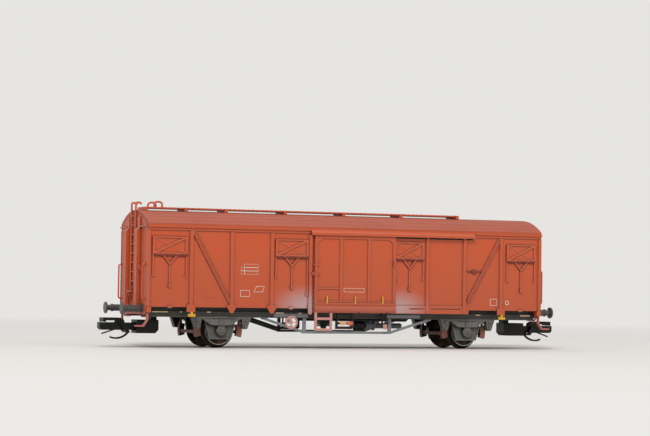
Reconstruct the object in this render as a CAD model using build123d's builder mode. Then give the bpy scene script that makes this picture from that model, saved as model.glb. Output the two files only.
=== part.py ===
from build123d import *
import os
from math import atan2, cos, degrees, hypot, radians, sqrt, tan

# Scale model, 1:120 for 12 mm track, of a covered goods wagon on two axles: a long body with an
# arched roof, one wide sliding door and four ventilators on each side, and a hook and bow
# coupler at each end. Millimetres. +X is the end away from the ladder, -Y the near side, +Z up.
# The origin lies on the floor under the wheel flanges, in the middle of the wagon.

# Body shell. Heights are from the floor under the flanges, or from the part that is named.
body_length = 106.3
body_width = 22.7
wall = 1.0
sill_z = 10.0
wall_high = 19.25
roof_edge = 1.1
roof_rise = 3.35
roof_edge_out = 0.35
roof_shell = 1.0
eave_lip = 0.12
eave_lip_high = 0.3
floor_thick = 1.0
floor_rib_high = 0.8
floor_rib_width = 0.8
post_width = 1.0
post_proud = 0.4
post_bevel = 18
top_rail_high = 0.6
corner_post_in = 0.35
corner_foot_drop = 1.35
end_bay_left = 10.8
end_bay_right = 11.1
door_bay = 10.1
door_post_gap = 1.0
right_post_gap = 9.0
brace_width = 0.8
brace_proud = 0.25
tongue_width = 2.3
tongue_tip = 0.6
tongue_drop = 1.35
bracket_width = 2.1
bracket_drop = 1.15
lug_width = 1.0
lug_drop = 0.25
skirt_drop = 1.0
skirt_proud = 0.2
skirt_high = 2.0
slot_high = 0.3
slot_rise = 1.05
slot_start = 4.1
hood_slot_deep = 0.35
hood_slot_drop = 0.35
hood_slot_high = 0.5
end_post_in = 3.7
end_post_out = 5.6
end_post_proud = 1.1
gable_rib_proud = 0.35
end_ledge_rise = 0.1
end_ledge_high = 0.35
end_ledge_proud = 0.5
lamp_y = 6.8
lamp_thick = 0.35
lamp_out = 1.15
lamp_high = 1.65
lamp_rise = 8.45
lamp_bar = 0.3

# Sliding door, its hood above and its sill below
door_left = -10.0
door_width = 21.9
door_foot = 1.5
door_head = 0.65
door_sheet = 0.5
door_frame = 0.2
door_border = 0.75
door_rib = 0.7
door_head_band = 1.1
door_rebate = 0.6
hatch_corner = 2.0
door_corner = 1.6
hatch_ledge_rise = 3.4
hatch_ledge_high = 0.3
lock_rod = 0.3
lock_handle = 1.1
lock_proud = 0.12
hood_past_door = 21.8
hood_drop = 0.95
hood_lip = 0.25
hood_gap = 0.12
sill_past_door = 20.6
sill_bulge = 1.1
sill_strip = 0.65
roller_notch = 1.1
fit_gap = 0.05

# Ventilator flaps
flap_head = 2.25
flap_high = 4.15
flap_frame = 0.55
flap_thick = 0.2
bar_thick = 0.2
brace_bar_width = 0.5
faint_bar_thick = 0.08
bar_width = 0.45
rod_width = 0.35
arm_spread = 2.0
arm_drop = 2.45
rod_drop = 8.15
handle_high = 0.9
handle_wide = 0.55
guide_short = 11.85
guide_long = 16.05

# Underframe
solebar_in = 1.75
solebar_flange = 1.0
solebar_web = 0.7
solebar_drop = 2.45
solebar_step = 1.4
solebar_groove = 0.25
headstock_thick = 0.9
headstock_in = 1.15
headstock_drop = 1.9
ballast_length = 62.0
ballast_width = 17.0
ballast_thick = 1.5

# Wheelsets
wheelbase = 66.67
tread_radius = 3.65
flange_depth = 0.7
flange_width = 0.7
flange_round = 0.2
tread_width = 1.5
tread_cone = 0.1
back_to_back = 10.2
rim_thick = 0.65
wheel_dish = 0.35
hub_radius = 1.15
axle_radius = 0.75
journal_radius = 0.4
point_length = 0.9
point_tip = 0.12
bearing_gap = 0.06

# Axle guards with springs
guard_gap = 0.35
guard_thick = 0.8
guard_top_half = 3.75
guard_bottom_half = 2.75
guard_drop = 2.15
guard_rib = 0.3
box_radius = 1.25
box_proud = 1.2
box_edge = 0.3
neck_half = 0.8
cover_radius = 0.7
leaf_count = 6
leaf_thick = 0.22
leaf_gap = 0.03
leaf_width = 1.0
leaf_half_length = 5.4
leaf_step = 0.5
leaf_camber = 0.5
spring_drop = 1.95
buckle_half = 0.6
shackle_top_in = 5.1
shackle_top_out = 7.6
shackle_x = 6.2
shackle_drop = 2.85
shackle_boss = 0.62
shackle_pin = 0.32

# Buffers
buffer_y = 7.3
buffer_drop = 0.47
buffer_length = 5.25
buffer_head_radius = 1.45
buffer_head_thick = 0.45
buffer_head_bevel = 0.12
plunger_radius = 0.7
sleeve_radius = 0.82
sleeve_length = 3.6
collar_radius = 0.95
collar_length = 0.5
buffer_base = 2.1
buffer_base_thick = 0.2

# Couplers. Lengths are from the face of the end wall.
pivot_in = 4.15
pocket_back_in = 5.85
pocket_front_in = 0.25
pocket_bottom = 3.4
pocket_high = 3.3
pocket_wall = 0.6
pocket_bevel = 0.8
pedestal_width = 2.8
pedestal_length = 1.5
pedestal_in = 0.2
pin_radius = 0.6
pin_gap = 0.06
shank_gap = 0.15
shank_width = 1.6
shank_eye = 0.98
coupler_swing = 12
head_back_out = 2.85
head_front_out = 8.75
head_width = 2.4
head_rise = 0.75
head_high = 1.85
hook_notch = 0.8
hook_nose = 0.9
bow_pivot_out = 3.45
bow_pivot_rise = 0.2
bow_pin_radius = 0.3
bow_eye = 0.75
bow_arm_width = 0.5
bow_side_gap = 0.15
bow_rise = 1.15
bow_bar = 0.7
bow_front_out = 8.05
bow_rest_gap = 0.1
tail_width = 0.7
tail_thick = 0.4
tail_root_out = 1.35
tail_root_rise = 0.1
tail_low_out = 3.45
tail_low_drop = 0.95
tail_tip_out = 5.85
tail_tip_drop = 0.8
lip_y = 0.95
lip_width = 0.5
lip_thick = 0.3
lip_back_out = 4.35
lip_tip_out = 7.65
lip_drop = 0.95

# Brake gear and fittings below the floor
shoe_gap = 0.4
shoe_thick = 1.35
shoe_half_angle = 16
shoe_width = 1.5
shoe_in = 0.6
hanger_size = 0.5
beam_size = 0.8
truss_in = 0.5
truss_size = 0.6
truss_thick = 0.6
truss_to_axle = 10.4
truss_post_x = 11.55
truss_drop = 3.5
truss_post_width = 0.8
truss_pad = 1.6
cylinder_y = -4.0
cylinder_x = 7.0
cylinder_drop = 4.25
cylinder_radius = 1.2
cylinder_length = 2.4
cylinder_rim = 0.4
spring_case_radius = 0.55
spring_case_length = 7.6
tank_x = 3.7
tank_y = -4.0
tank_drop = 4.15
tank_radius = 1.3
tank_length = 3.0
valve_x = -3.4
valve_y = -1.5
valve_width = 2.6
valve_bowl = 0.95
hand_wheel_x = -15.9
hand_wheel_out = 0.15
hand_wheel_drop = 3.46
hand_wheel_radius = 1.62
hand_wheel_rim = 0.36
hand_wheel_hub = 0.35
hand_wheel_spoke = 0.26
step_left = -9.6
step_right = -5.5
step_out = 0.4
step_bar = 0.6
step_thick = 0.35
step_rung_drop = 2.5
step_drop = 5.2
lever_left = -3.4
lever_right = 1.05
lever_out = 0.9
lever_drop = 4.75
lever_wire = 0.35
lever_plate_high = 0.6
load_lever_left = 8.85
load_lever_right = 10.2
load_lever_drop = 4.3
load_plate_high = 1.0

# Ladder, walkway, rails, steps and hooks
ladder_half = 1.8
ladder_foot = 5.4
ladder_rise = 1.8
ladder_rod = 0.25
ladder_rungs = 8
ladder_return = 1.3
ladder_tip = 0.5
ladder_stay = 0.4
foot_tread_rise = 3.55
foot_tread_out = 1.15
foot_tread_thick = 0.3
foot_plate_high = 2.1
foot_plate_y = 1.25
rung_radius = 0.17
rod_sides = 8
walkway_left_in = 1.55
walkway_length = 85.0
walkway_half = 2.9
walkway_rise = 0.75
plank_thick = 0.35
plank_gap = 0.15
plank_count = 3
chair_width = 0.8
chair_proud = 0.25
hoop_in = 4.1
hoop_length = 2.05
hoop_high = 1.3
hoop_rod = 0.24
hoop_bend = 0.75
handrail_out = 0.9
handrail_in = 1.0
handrail_foot = 1.9
handrail_high = 8.4
handrail_rod = 0.2
corner_step_bar = 0.3
corner_step_thick = 0.35
corner_step_bend = 3.2
corner_step_drop = 4.65
corner_step_out = 2.75
corner_step_knee = 0.65
shunter_in = 4.9
shunter_out = 9.8
shunter_drop = 0.5
shunter_rod = 0.25
hook_offset = 0.22
hook_drop = 1.15
hook_width = 1.8
hook_shank = 0.6
hook_bar = 0.45
hook_tip = 0.38
hook_tip_high = 0.7
hook_thick = 0.45

# Planes and places worked out from the sizes above
half_length = body_length / 2
half_width = body_width / 2
wall_in = half_width - wall
eave_z = sill_z + wall_high
roof_edge_z = eave_z + roof_edge
ridge_z = roof_edge_z + roof_rise
roof_half_width = half_width + roof_edge_out
roof_radius = (roof_half_width**2 + roof_rise**2) / (2 * roof_rise)
roof_centre_z = ridge_z - roof_radius
ceiling_radius = roof_radius - roof_shell
top_rail_z = eave_z - top_rail_high
door_right = door_left + door_width
door_bottom = sill_z + door_foot
door_top = eave_z - door_head
hood_left = door_left - door_post_gap
hood_right = door_right + hood_past_door
hood_bottom = eave_z - hood_drop
skirt_bottom = sill_z - skirt_drop
skirt_right = door_right + sill_past_door
solebar_y = half_width - solebar_in
solebar_bottom = sill_z - solebar_drop
solebar_half = half_length - headstock_thick
headstock_bottom = sill_z - headstock_drop
axle_x = wheelbase / 2
axle_z = tread_radius + flange_depth
wheel_in = back_to_back / 2
wheel_out = wheel_in + flange_width + tread_width
guard_in = wheel_out + guard_gap
guard_out = guard_in + guard_thick
box_face = guard_out + box_proud
axle_half = guard_out + box_proud / 2

# Post centres along a side, from the left corner to the right one
left_corner = -half_length + corner_post_in
right_corner = half_length - corner_post_in
left_end = left_corner + end_bay_left
right_end = right_corner - end_bay_right
door_post = door_left - door_post_gap
left_inner = door_post - door_bay
right_inner = door_right + right_post_gap
left_middle = (left_end + left_inner) / 2
right_middle = (right_end + right_inner) / 2
posts = (
    left_corner,
    left_end,
    left_middle,
    left_inner,
    door_post,
    right_inner,
    right_middle,
    right_end,
    right_corner,
)
tongue_posts = (left_middle, left_inner)
bracket_posts = (left_end, right_end)
small_lugs = (
    (left_corner + left_end) / 2,
    (left_inner + door_post) / 2,
    (right_corner + right_end) / 2,
)
# brace: head x, head z, foot x, foot z
skirt_top = skirt_bottom + skirt_high
braces = (
    (left_end + post_width / 2, top_rail_z, left_middle - post_width / 4, sill_z + post_width),
    (right_end - post_width / 4, top_rail_z, right_middle + post_width, skirt_top + post_width),
)
# ventilator: left edge, right edge, foot of the left guide, foot of the right guide
short_guide = eave_z - guide_short
long_guide = eave_z - guide_long
ventilators = (
    (left_corner + 0.9, left_end - 1.1, short_guide, short_guide),
    (left_inner + 0.8, door_post - 0.6, short_guide, long_guide),
    (door_right + fit_gap, right_inner - 1.0, short_guide, short_guide),
    (right_end + 1.5, right_corner - 1.3, short_guide, short_guide),
)
# marks under the door: centre of each roller
rollers = (door_left + door_width * 0.17, door_left + door_width * 0.52, door_left + door_width * 0.87)
ends = (("left", -1), ("right", 1))

os.makedirs("parts", exist_ok=True)


def write(builder, node):
    builder.part.label = node
    export_step(builder.part, f"parts/{node}.step")


def write_turned(builder, node):
    """The same piece on the opposite side or end, half a turn round the wagon's middle."""
    with BuildPart() as turned:
        add(builder.part, rotation=(0, 0, 180))
    write(turned, node)


def write_moved(builder, node, x):
    """The same piece at another place along the wagon."""
    with BuildPart() as moved:
        with Locations((x, 0, 0)):
            add(builder.part)
    write(moved, node)
    return moved


def patch(left, right, bottom, top, mode=Mode.ADD):
    """A rectangle in a sketch, given by its edges."""
    with Locations(((left + right) / 2, (bottom + top) / 2)):
        Rectangle(right - left, top - bottom, mode=mode)


def panel(left, right, bottom, top, left_round, right_round, mode=Mode.ADD):
    """A rectangle in a sketch whose top corners are rounded by these radii."""
    with BuildLine() as edge:
        Line((left, bottom), (right, bottom))
        Line((right, bottom), (right, top - right_round))
        if right_round:
            RadiusArc((right, top - right_round), (right - right_round, top), -right_round)
        Line((right - right_round, top), (left + left_round, top))
        if left_round:
            RadiusArc((left + left_round, top), (left, top - left_round), -left_round)
        Line((left, top - left_round), (left, bottom))
    make_face(edge.edges(), mode=mode)


def strip(start, end, width):
    """A straight bar in a sketch, from one point to another."""
    length = hypot(end[0] - start[0], end[1] - start[1])
    turn = degrees(atan2(end[1] - start[1], end[0] - start[0]))
    middle = ((start[0] + end[0]) / 2, (start[1] + end[1]) / 2, 0)
    with Locations(Location(middle, turn)):
        Rectangle(length, width)


def outline(*points, mode=Mode.ADD):
    """A face in a sketch with straight edges from point to point."""
    Polygon(*points, align=None, mode=mode)


def bent_rod(points, plane, radius, bend):
    """A thin rod along straight runs, swept from an eight-sided section at its first point."""
    with BuildLine() as path:
        FilletPolyline(*points, radius=bend)
    with BuildSketch(plane) as section:
        RegularPolygon(radius, side_count=rod_sides)
    sweep(section.sketch, path=path.wires()[0])


def near_plane(y):
    """A plane that faces the near side, at this distance from the wagon's middle."""
    return Plane.XZ.offset(y)


def roof_height(y):
    """The height of the roof's outer face at this distance from the middle."""
    return roof_centre_z + sqrt(roof_radius**2 - y**2)


# Side wall: sheet with pressed posts whose flanks slope, two braces, the lugs under its edge, a
# foot below each corner and the skirt along which the open door runs. The doorway is cut
# through it, and the open door's upper rollers run in a slot under the hood.
with BuildPart() as side_wall:
    with BuildSketch(near_plane(wall_in)):
        patch(-half_length, half_length, sill_z, eave_z)
        patch(door_left, skirt_right, skirt_bottom, sill_z)
        patch(
            door_left + door_rebate,
            door_right - door_rebate,
            door_bottom + door_rebate,
            top_rail_z - door_rebate,
            Mode.SUBTRACT,
        )
    extrude(amount=wall)
    with BuildSketch(near_plane(half_width)):
        patch(-half_length, hood_left, top_rail_z, eave_z)
        patch(hood_right, half_length, top_rail_z, eave_z)
        for head_x, head_z, foot_x, foot_z in braces:
            strip((head_x, head_z), (foot_x, foot_z), brace_width)
    extrude(amount=brace_proud)
    with BuildSketch(near_plane(half_width)):
        patch(door_right, skirt_right, skirt_bottom, skirt_top)
        slot_z = skirt_bottom + slot_rise
        for left, right in (
            (door_right + slot_start, right_inner - post_width),
            (right_inner + post_width, right_middle - post_width),
        ):
            patch(left, right, slot_z, slot_z + slot_high, Mode.SUBTRACT)
    extrude(amount=skirt_proud)
    with BuildSketch(near_plane(half_width)):
        for x in posts:
            foot_z = skirt_bottom if door_left < x < skirt_right else sill_z
            head_z = hood_bottom if hood_left < x + post_width / 2 < hood_right else top_rail_z
            patch(x - post_width / 2, x + post_width / 2, foot_z, head_z)
    extrude(amount=post_proud, taper=post_bevel)
    with BuildSketch(near_plane(half_width)):
        for x in tongue_posts:
            outline(
                (x - tongue_width / 2, sill_z + tongue_tip),
                (x - tongue_width / 2, sill_z),
                (x - tongue_tip / 2, sill_z - tongue_drop),
                (x + tongue_tip / 2, sill_z - tongue_drop),
                (x + tongue_width / 2, sill_z),
                (x + tongue_width / 2, sill_z + tongue_tip),
            )
        for x in bracket_posts:
            patch(
                x - bracket_width / 2, x + bracket_width / 2, sill_z - bracket_drop, sill_z + bracket_drop / 2
            )
        for x in small_lugs:
            patch(x - lug_width / 2, x + lug_width / 2, sill_z - lug_drop, sill_z + lug_drop)
        patch(door_post - post_width / 2, door_post + post_width / 2, skirt_bottom, sill_z + lug_width)
        with Locations((door_post, skirt_bottom)):
            Circle(post_width / 2)
    extrude(amount=post_proud)
    with BuildSketch(near_plane(wall_in)):
        for side in (-1, 1):
            foot = side * (half_length - post_width / 2)
            patch(foot - post_width / 2, foot + post_width / 2, sill_z - corner_foot_drop, sill_z)
    extrude(amount=wall + post_proud)
    with BuildSketch(near_plane(half_width - hood_slot_deep)):
        slot_z = hood_bottom - hood_slot_drop
        patch(door_right, hood_right, slot_z, slot_z + hood_slot_high)
    extrude(amount=hood_slot_deep, mode=Mode.SUBTRACT)
write(side_wall, "side_wall_near")
write_turned(side_wall, "side_wall_far")

# End wall: a gable under the arched roof with two stout posts whose tops are bevelled, a ledge
# outside the posts at eave height, two ribs above it, and an open lamp bracket near each post.
gable_z = roof_centre_z + sqrt(ceiling_radius**2 - wall_in**2)
with BuildPart() as end_wall:
    with BuildSketch(Plane.YZ.offset(half_length - wall)):
        with BuildLine():
            Polyline((wall_in, gable_z), (wall_in, sill_z), (-wall_in, sill_z), (-wall_in, gable_z))
            ThreePointArc((-wall_in, gable_z), (0, roof_centre_z + ceiling_radius), (wall_in, gable_z))
        make_face()
    extrude(amount=wall)
    ledge_z = eave_z + end_ledge_rise
    rib_top = roof_centre_z + sqrt(ceiling_radius**2 - end_post_out**2)
    for side in (-1, 1):
        start = end_post_in if side < 0 else -end_post_out
        with BuildSketch(near_plane(start)):
            outline(
                (half_length, sill_z),
                (half_length + end_post_proud, sill_z),
                (half_length + end_post_proud, ledge_z - end_post_proud + end_ledge_high),
                (half_length, ledge_z + end_ledge_high),
            )
            patch(half_length, half_length + gable_rib_proud, ledge_z, rib_top)
        extrude(amount=end_post_out - end_post_in)
        with BuildSketch(Plane.YZ.offset(half_length)):
            middle = side * (end_post_out + half_width) / 2
            half = (half_width - end_post_out) / 2
            patch(middle - half, middle + half, ledge_z, ledge_z + end_ledge_high)
        extrude(amount=end_ledge_proud)
        with BuildSketch(near_plane(side * lamp_y - lamp_thick / 2)):
            foot_z = sill_z + lamp_rise
            head_z = foot_z + lamp_high
            tip = half_length + lamp_out
            outline(
                (half_length, head_z),
                (tip, head_z),
                (half_length + lamp_bar, foot_z),
                (half_length, foot_z),
            )
            outline(
                (half_length + lamp_bar, head_z - lamp_bar),
                (tip - 2 * lamp_bar, head_z - lamp_bar),
                (half_length + lamp_bar, foot_z + 2 * lamp_bar),
                mode=Mode.SUBTRACT,
            )
        extrude(amount=lamp_thick)
write(end_wall, "end_wall_right")
write_turned(end_wall, "end_wall_left")

# Roof: one arched shell that lands on the side walls, with an upright edge along each eave and
# a small lip at the edge's foot.
with BuildPart() as roof:
    with BuildSketch(Plane.YZ.offset(-half_length)):
        with BuildLine():
            edge = roof_half_width
            Polyline((wall_in, gable_z), (wall_in, eave_z), (edge, eave_z), (edge, roof_edge_z))
            ThreePointArc((edge, roof_edge_z), (0, ridge_z), (-edge, roof_edge_z))
            Polyline((-edge, roof_edge_z), (-edge, eave_z), (-wall_in, eave_z), (-wall_in, gable_z))
            ThreePointArc((-wall_in, gable_z), (0, roof_centre_z + ceiling_radius), (wall_in, gable_z))
        make_face()
        for side in (-1, 1):
            with Locations((side * (roof_half_width + eave_lip / 2), eave_z + eave_lip_high / 2)):
                Rectangle(eave_lip, eave_lip_high)
    extrude(amount=body_length)
write(roof, "roof")

# Floor: a plate between the walls with two long ribs and five cross ribs below it, and the
# steel ballast plate lying on it inside.
with BuildPart() as floor_plate:
    with BuildSketch(Plane.XY.offset(sill_z)):
        Rectangle(body_length - 2 * wall, 2 * wall_in)
    extrude(amount=floor_thick)
    rib_half = axle_x - tread_radius - flange_depth - shoe_gap - shoe_thick - floor_rib_width
    rib_reach = solebar_y - solebar_flange - solebar_web
    with BuildSketch(Plane.XY.offset(sill_z - floor_rib_high)):
        for side in (-1, 1):
            patch(
                -rib_half,
                rib_half,
                side * rib_reach / 2 - floor_rib_width / 2,
                side * rib_reach / 2 + floor_rib_width / 2,
            )
        for x in (-rib_half, -rib_half / 2, 0, rib_half / 2, rib_half):
            patch(x - floor_rib_width / 2, x + floor_rib_width / 2, -rib_reach, rib_reach)
    extrude(amount=floor_rib_high)
write(floor_plate, "floor_plate")

with BuildPart() as ballast:
    with BuildSketch(Plane.XY.offset(sill_z + floor_thick)):
        Rectangle(ballast_length, ballast_width)
    extrude(amount=ballast_thick)
write(ballast, "ballast_plate")

# Sliding door: a rebate that fills the doorway, a sheet outside the wall, and a raised frame
# round three panels. The first panel has the old hatch, with a large corner and a ledge at its
# foot. The lock's rod and two handles stand at the left edge.
door_ribs = (door_left + door_width / 3 - 0.2, door_left + door_width * 2 / 3 + 0.06)
door_face = half_width + door_sheet + door_frame
with BuildPart() as door:
    with BuildSketch(near_plane(wall_in)):
        patch(
            door_left + door_rebate + fit_gap,
            door_right - door_rebate - fit_gap,
            door_bottom + door_rebate + fit_gap,
            top_rail_z - door_rebate - fit_gap,
        )
    extrude(amount=wall)
    with BuildSketch(near_plane(half_width)):
        patch(door_left, door_right, door_bottom, door_top)
    extrude(amount=door_sheet)
    with BuildSketch(near_plane(half_width + door_sheet)):
        patch(door_left, door_right, door_bottom, door_top)
        foot_z = door_bottom + door_border / 2
        head_z = door_top - door_head_band
        first, second = door_ribs
        # panel: left, right, round of the left corner, round of the right corner
        for left, right, left_round, right_round in (
            (door_left + door_border, first - door_rib / 2, hatch_corner, 0),
            (first + door_rib / 2, second - door_rib / 2, 0, 0),
            (second + door_rib / 2, door_right - door_border, 0, door_corner),
        ):
            panel(left, right, foot_z, head_z, left_round, right_round, Mode.SUBTRACT)
        ledge_z = door_bottom + hatch_ledge_rise
        patch(door_left + door_border, first, ledge_z, ledge_z + hatch_ledge_high)
    extrude(amount=door_frame)
    with BuildSketch(near_plane(door_face)):
        rod_x = door_left + door_border / 2
        patch(rod_x - lock_rod / 2, rod_x + lock_rod / 2, door_bottom, hood_bottom)
        for handle_z in (door_bottom + door_width * 0.31, door_bottom + door_width * 0.42):
            patch(rod_x, rod_x + lock_handle, handle_z, handle_z + lock_rod)
    extrude(amount=lock_proud)
write(door, "door_near")
write_turned(door, "door_far")

# Door rails: a hood over the rollers along the eave, and under the door a bulging sill with a
# strip above it, notched at each roller.
hood_face = door_face + lock_proud + hood_gap + hood_lip
sill_face = door_face + fit_gap
with BuildPart() as door_rails:
    with BuildSketch(Plane.YZ.offset(hood_left)):
        inner_z = eave_z - hood_lip - hood_gap
        outline(
            (-half_width, eave_z),
            (-hood_face, eave_z - hood_lip),
            (-hood_face, hood_bottom),
            (-hood_face + hood_lip, hood_bottom),
            (-hood_face + hood_lip, inner_z),
            (-half_width, inner_z),
        )
    extrude(amount=hood_right - hood_left)
    with BuildSketch(Plane.YZ.offset(door_left)):
        strip_z = door_bottom - sill_strip
        with BuildLine():
            Polyline((-half_width, skirt_bottom), (-half_width, door_bottom), (-sill_face, door_bottom))
            Line((-sill_face, door_bottom), (-sill_face, strip_z))
            ThreePointArc(
                (-sill_face, strip_z),
                (-half_width - sill_bulge, (strip_z + skirt_bottom) / 2),
                (-sill_face, skirt_bottom),
            )
            Line((-sill_face, skirt_bottom), (-half_width, skirt_bottom))
        make_face()
    extrude(amount=door_width)
    with BuildSketch(near_plane(half_width + sill_bulge / 2)):
        for x in rollers:
            outline(
                (x, skirt_bottom),
                (x + roller_notch / 2, skirt_bottom + roller_notch / 3),
                (x + roller_notch, skirt_bottom),
            )
    extrude(amount=sill_bulge, mode=Mode.SUBTRACT)
write(door_rails, "door_rails_near")
write_turned(door_rails, "door_rails_far")

# Ventilators: a framed flap with crossed stiffeners, a bar below it in two forked arms that
# meet at an operating rod with a handle, and a guide at each side. Four stand on each wall.
flap_top = eave_z - flap_head
flap_bottom = flap_top - flap_high
apex_z = flap_bottom - arm_drop
with BuildPart() as vents:
    for left, right, left_foot, right_foot in ventilators:
        middle = (left + right) / 2
        with BuildSketch(near_plane(half_width)):
            patch(left, right, flap_bottom, flap_top)
            patch(left, left + rod_width, left_foot, flap_top)
            patch(left, left + 2 * rod_width, left_foot, left_foot + rod_width)
            patch(right - rod_width, right, right_foot, flap_top)
            patch(right - 2 * rod_width, right, right_foot, right_foot + rod_width)
            patch(left, right, flap_bottom - bar_width, flap_bottom)
            for side in (-1, 1):
                strip((middle + side * arm_spread, flap_bottom), (middle, apex_z), rod_width)
            rod_foot = flap_bottom - rod_drop
            patch(middle - rod_width / 2, middle + rod_width / 2, rod_foot, apex_z + rod_width)
            handle_z = flap_bottom - rod_drop
            patch(middle - handle_wide / 2, middle + handle_wide / 2, handle_z, handle_z + handle_high)
        extrude(amount=flap_thick)
        with BuildSketch(near_plane(half_width + flap_thick)):
            patch(left, right, flap_bottom, flap_top)
            patch(
                left + flap_frame,
                right - flap_frame,
                flap_bottom + flap_frame / 2,
                flap_top - flap_frame / 2,
                Mode.SUBTRACT,
            )
            low = flap_bottom + flap_frame / 2
            high = flap_top - flap_frame / 2
            strip((left + flap_frame, low), (right - flap_frame, high), brace_bar_width)
            patch(right - flap_frame, right, flap_bottom, flap_top)
        extrude(amount=bar_thick)
        with BuildSketch(near_plane(half_width + flap_thick)):
            strip((left + flap_frame, high), (right - flap_frame, low), rod_width)
        extrude(amount=faint_bar_thick)
        with BuildSketch(near_plane(half_width + flap_thick)):
            patch(left + flap_frame, right - flap_frame, flap_bottom - bar_width, flap_bottom - bar_width / 3)
            for side in (-1, 1):
                strip((middle + side * arm_spread, flap_bottom), (middle, apex_z), rod_width)
            patch(middle - handle_wide / 2, middle + handle_wide / 2, handle_z, handle_z + handle_high)
        extrude(amount=bar_thick)
write(vents, "ventilators_near")
write_turned(vents, "ventilators_far")

# Solebars: the long sills of the underframe, a web on a deeper foot with a grooved face.
with BuildPart() as solebar:
    with BuildSketch(Plane.YZ.offset(-solebar_half)):
        foot_top = solebar_bottom + solebar_step
        web_face = solebar_y - solebar_flange
        groove_low = solebar_bottom + solebar_groove
        groove_high = foot_top - solebar_groove
        groove_y = solebar_y - solebar_groove
        outline(
            (-solebar_y, solebar_bottom),
            (-solebar_y, groove_low),
            (-groove_y, groove_low),
            (-groove_y, groove_high),
            (-solebar_y, groove_high),
            (-solebar_y, foot_top),
            (-web_face, foot_top),
            (-web_face, sill_z),
            (-web_face + solebar_web, sill_z),
            (-web_face + solebar_web, solebar_bottom),
        )
    extrude(amount=2 * solebar_half)
write(solebar, "solebar_near")
write_turned(solebar, "solebar_far")

# Headstocks: the cross beams under the end walls that carry the buffers, open to the inside.
headstock_half = half_width - headstock_in
with BuildPart() as headstock:
    with BuildSketch(Plane.YZ.offset(half_length - headstock_thick)):
        patch(-headstock_half, headstock_half, headstock_bottom, sill_z)
    extrude(amount=headstock_thick)
    with BuildSketch(Plane.YZ.offset(half_length - headstock_thick)):
        reach = solebar_y - solebar_flange - solebar_web
        patch(-reach, reach, headstock_bottom + headstock_thick / 2, sill_z - headstock_thick / 2)
    extrude(amount=headstock_thick / 2, mode=Mode.SUBTRACT)
write(headstock, "headstock_right")
write_turned(headstock, "headstock_left")

# Wheels: turned rims with a flange and a coned tread, a dished disc and a hub, pressed on an
# axle whose ends are points that run in the axle boxes.
with BuildPart() as wheels:
    with BuildSketch(Plane.XY.offset(axle_z)):
        flange_radius = tread_radius + flange_depth
        rim_inside = tread_radius - rim_thick
        outline(
            (axle_radius, wheel_in),
            (hub_radius, wheel_in),
            (hub_radius, wheel_in + wheel_dish),
            (rim_inside, wheel_in + wheel_dish),
            (rim_inside, wheel_in),
            (flange_radius - flange_round, wheel_in),
            (flange_radius, wheel_in + flange_round),
            (flange_radius, wheel_in + flange_width / 2),
            (tread_radius, wheel_in + flange_width),
            (tread_radius - tread_cone, wheel_out),
            (rim_inside, wheel_out),
            (rim_inside, wheel_out - wheel_dish),
            (hub_radius, wheel_out - wheel_dish),
            (hub_radius, wheel_out),
            (axle_radius, wheel_out),
        )
        mirror(about=Plane.XZ)
    revolve(axis=Axis((0, 0, axle_z), (0, 1, 0)))
with BuildPart() as axle:
    with BuildSketch(Plane.XY.offset(axle_z)):
        outline(
            (0, -axle_half),
            (point_tip, -axle_half),
            (journal_radius, -axle_half + point_length),
            (journal_radius, -wheel_out),
            (axle_radius, -wheel_out),
            (axle_radius, wheel_out),
            (journal_radius, wheel_out),
            (journal_radius, axle_half - point_length),
            (point_tip, axle_half),
            (0, axle_half),
        )
    revolve(axis=Axis((0, 0, axle_z), (0, 1, 0)))
for end, way in ends:
    write_moved(wheels, f"wheels_{end}", way * axle_x)
    write_moved(axle, f"axle_{end}", way * axle_x)

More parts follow.
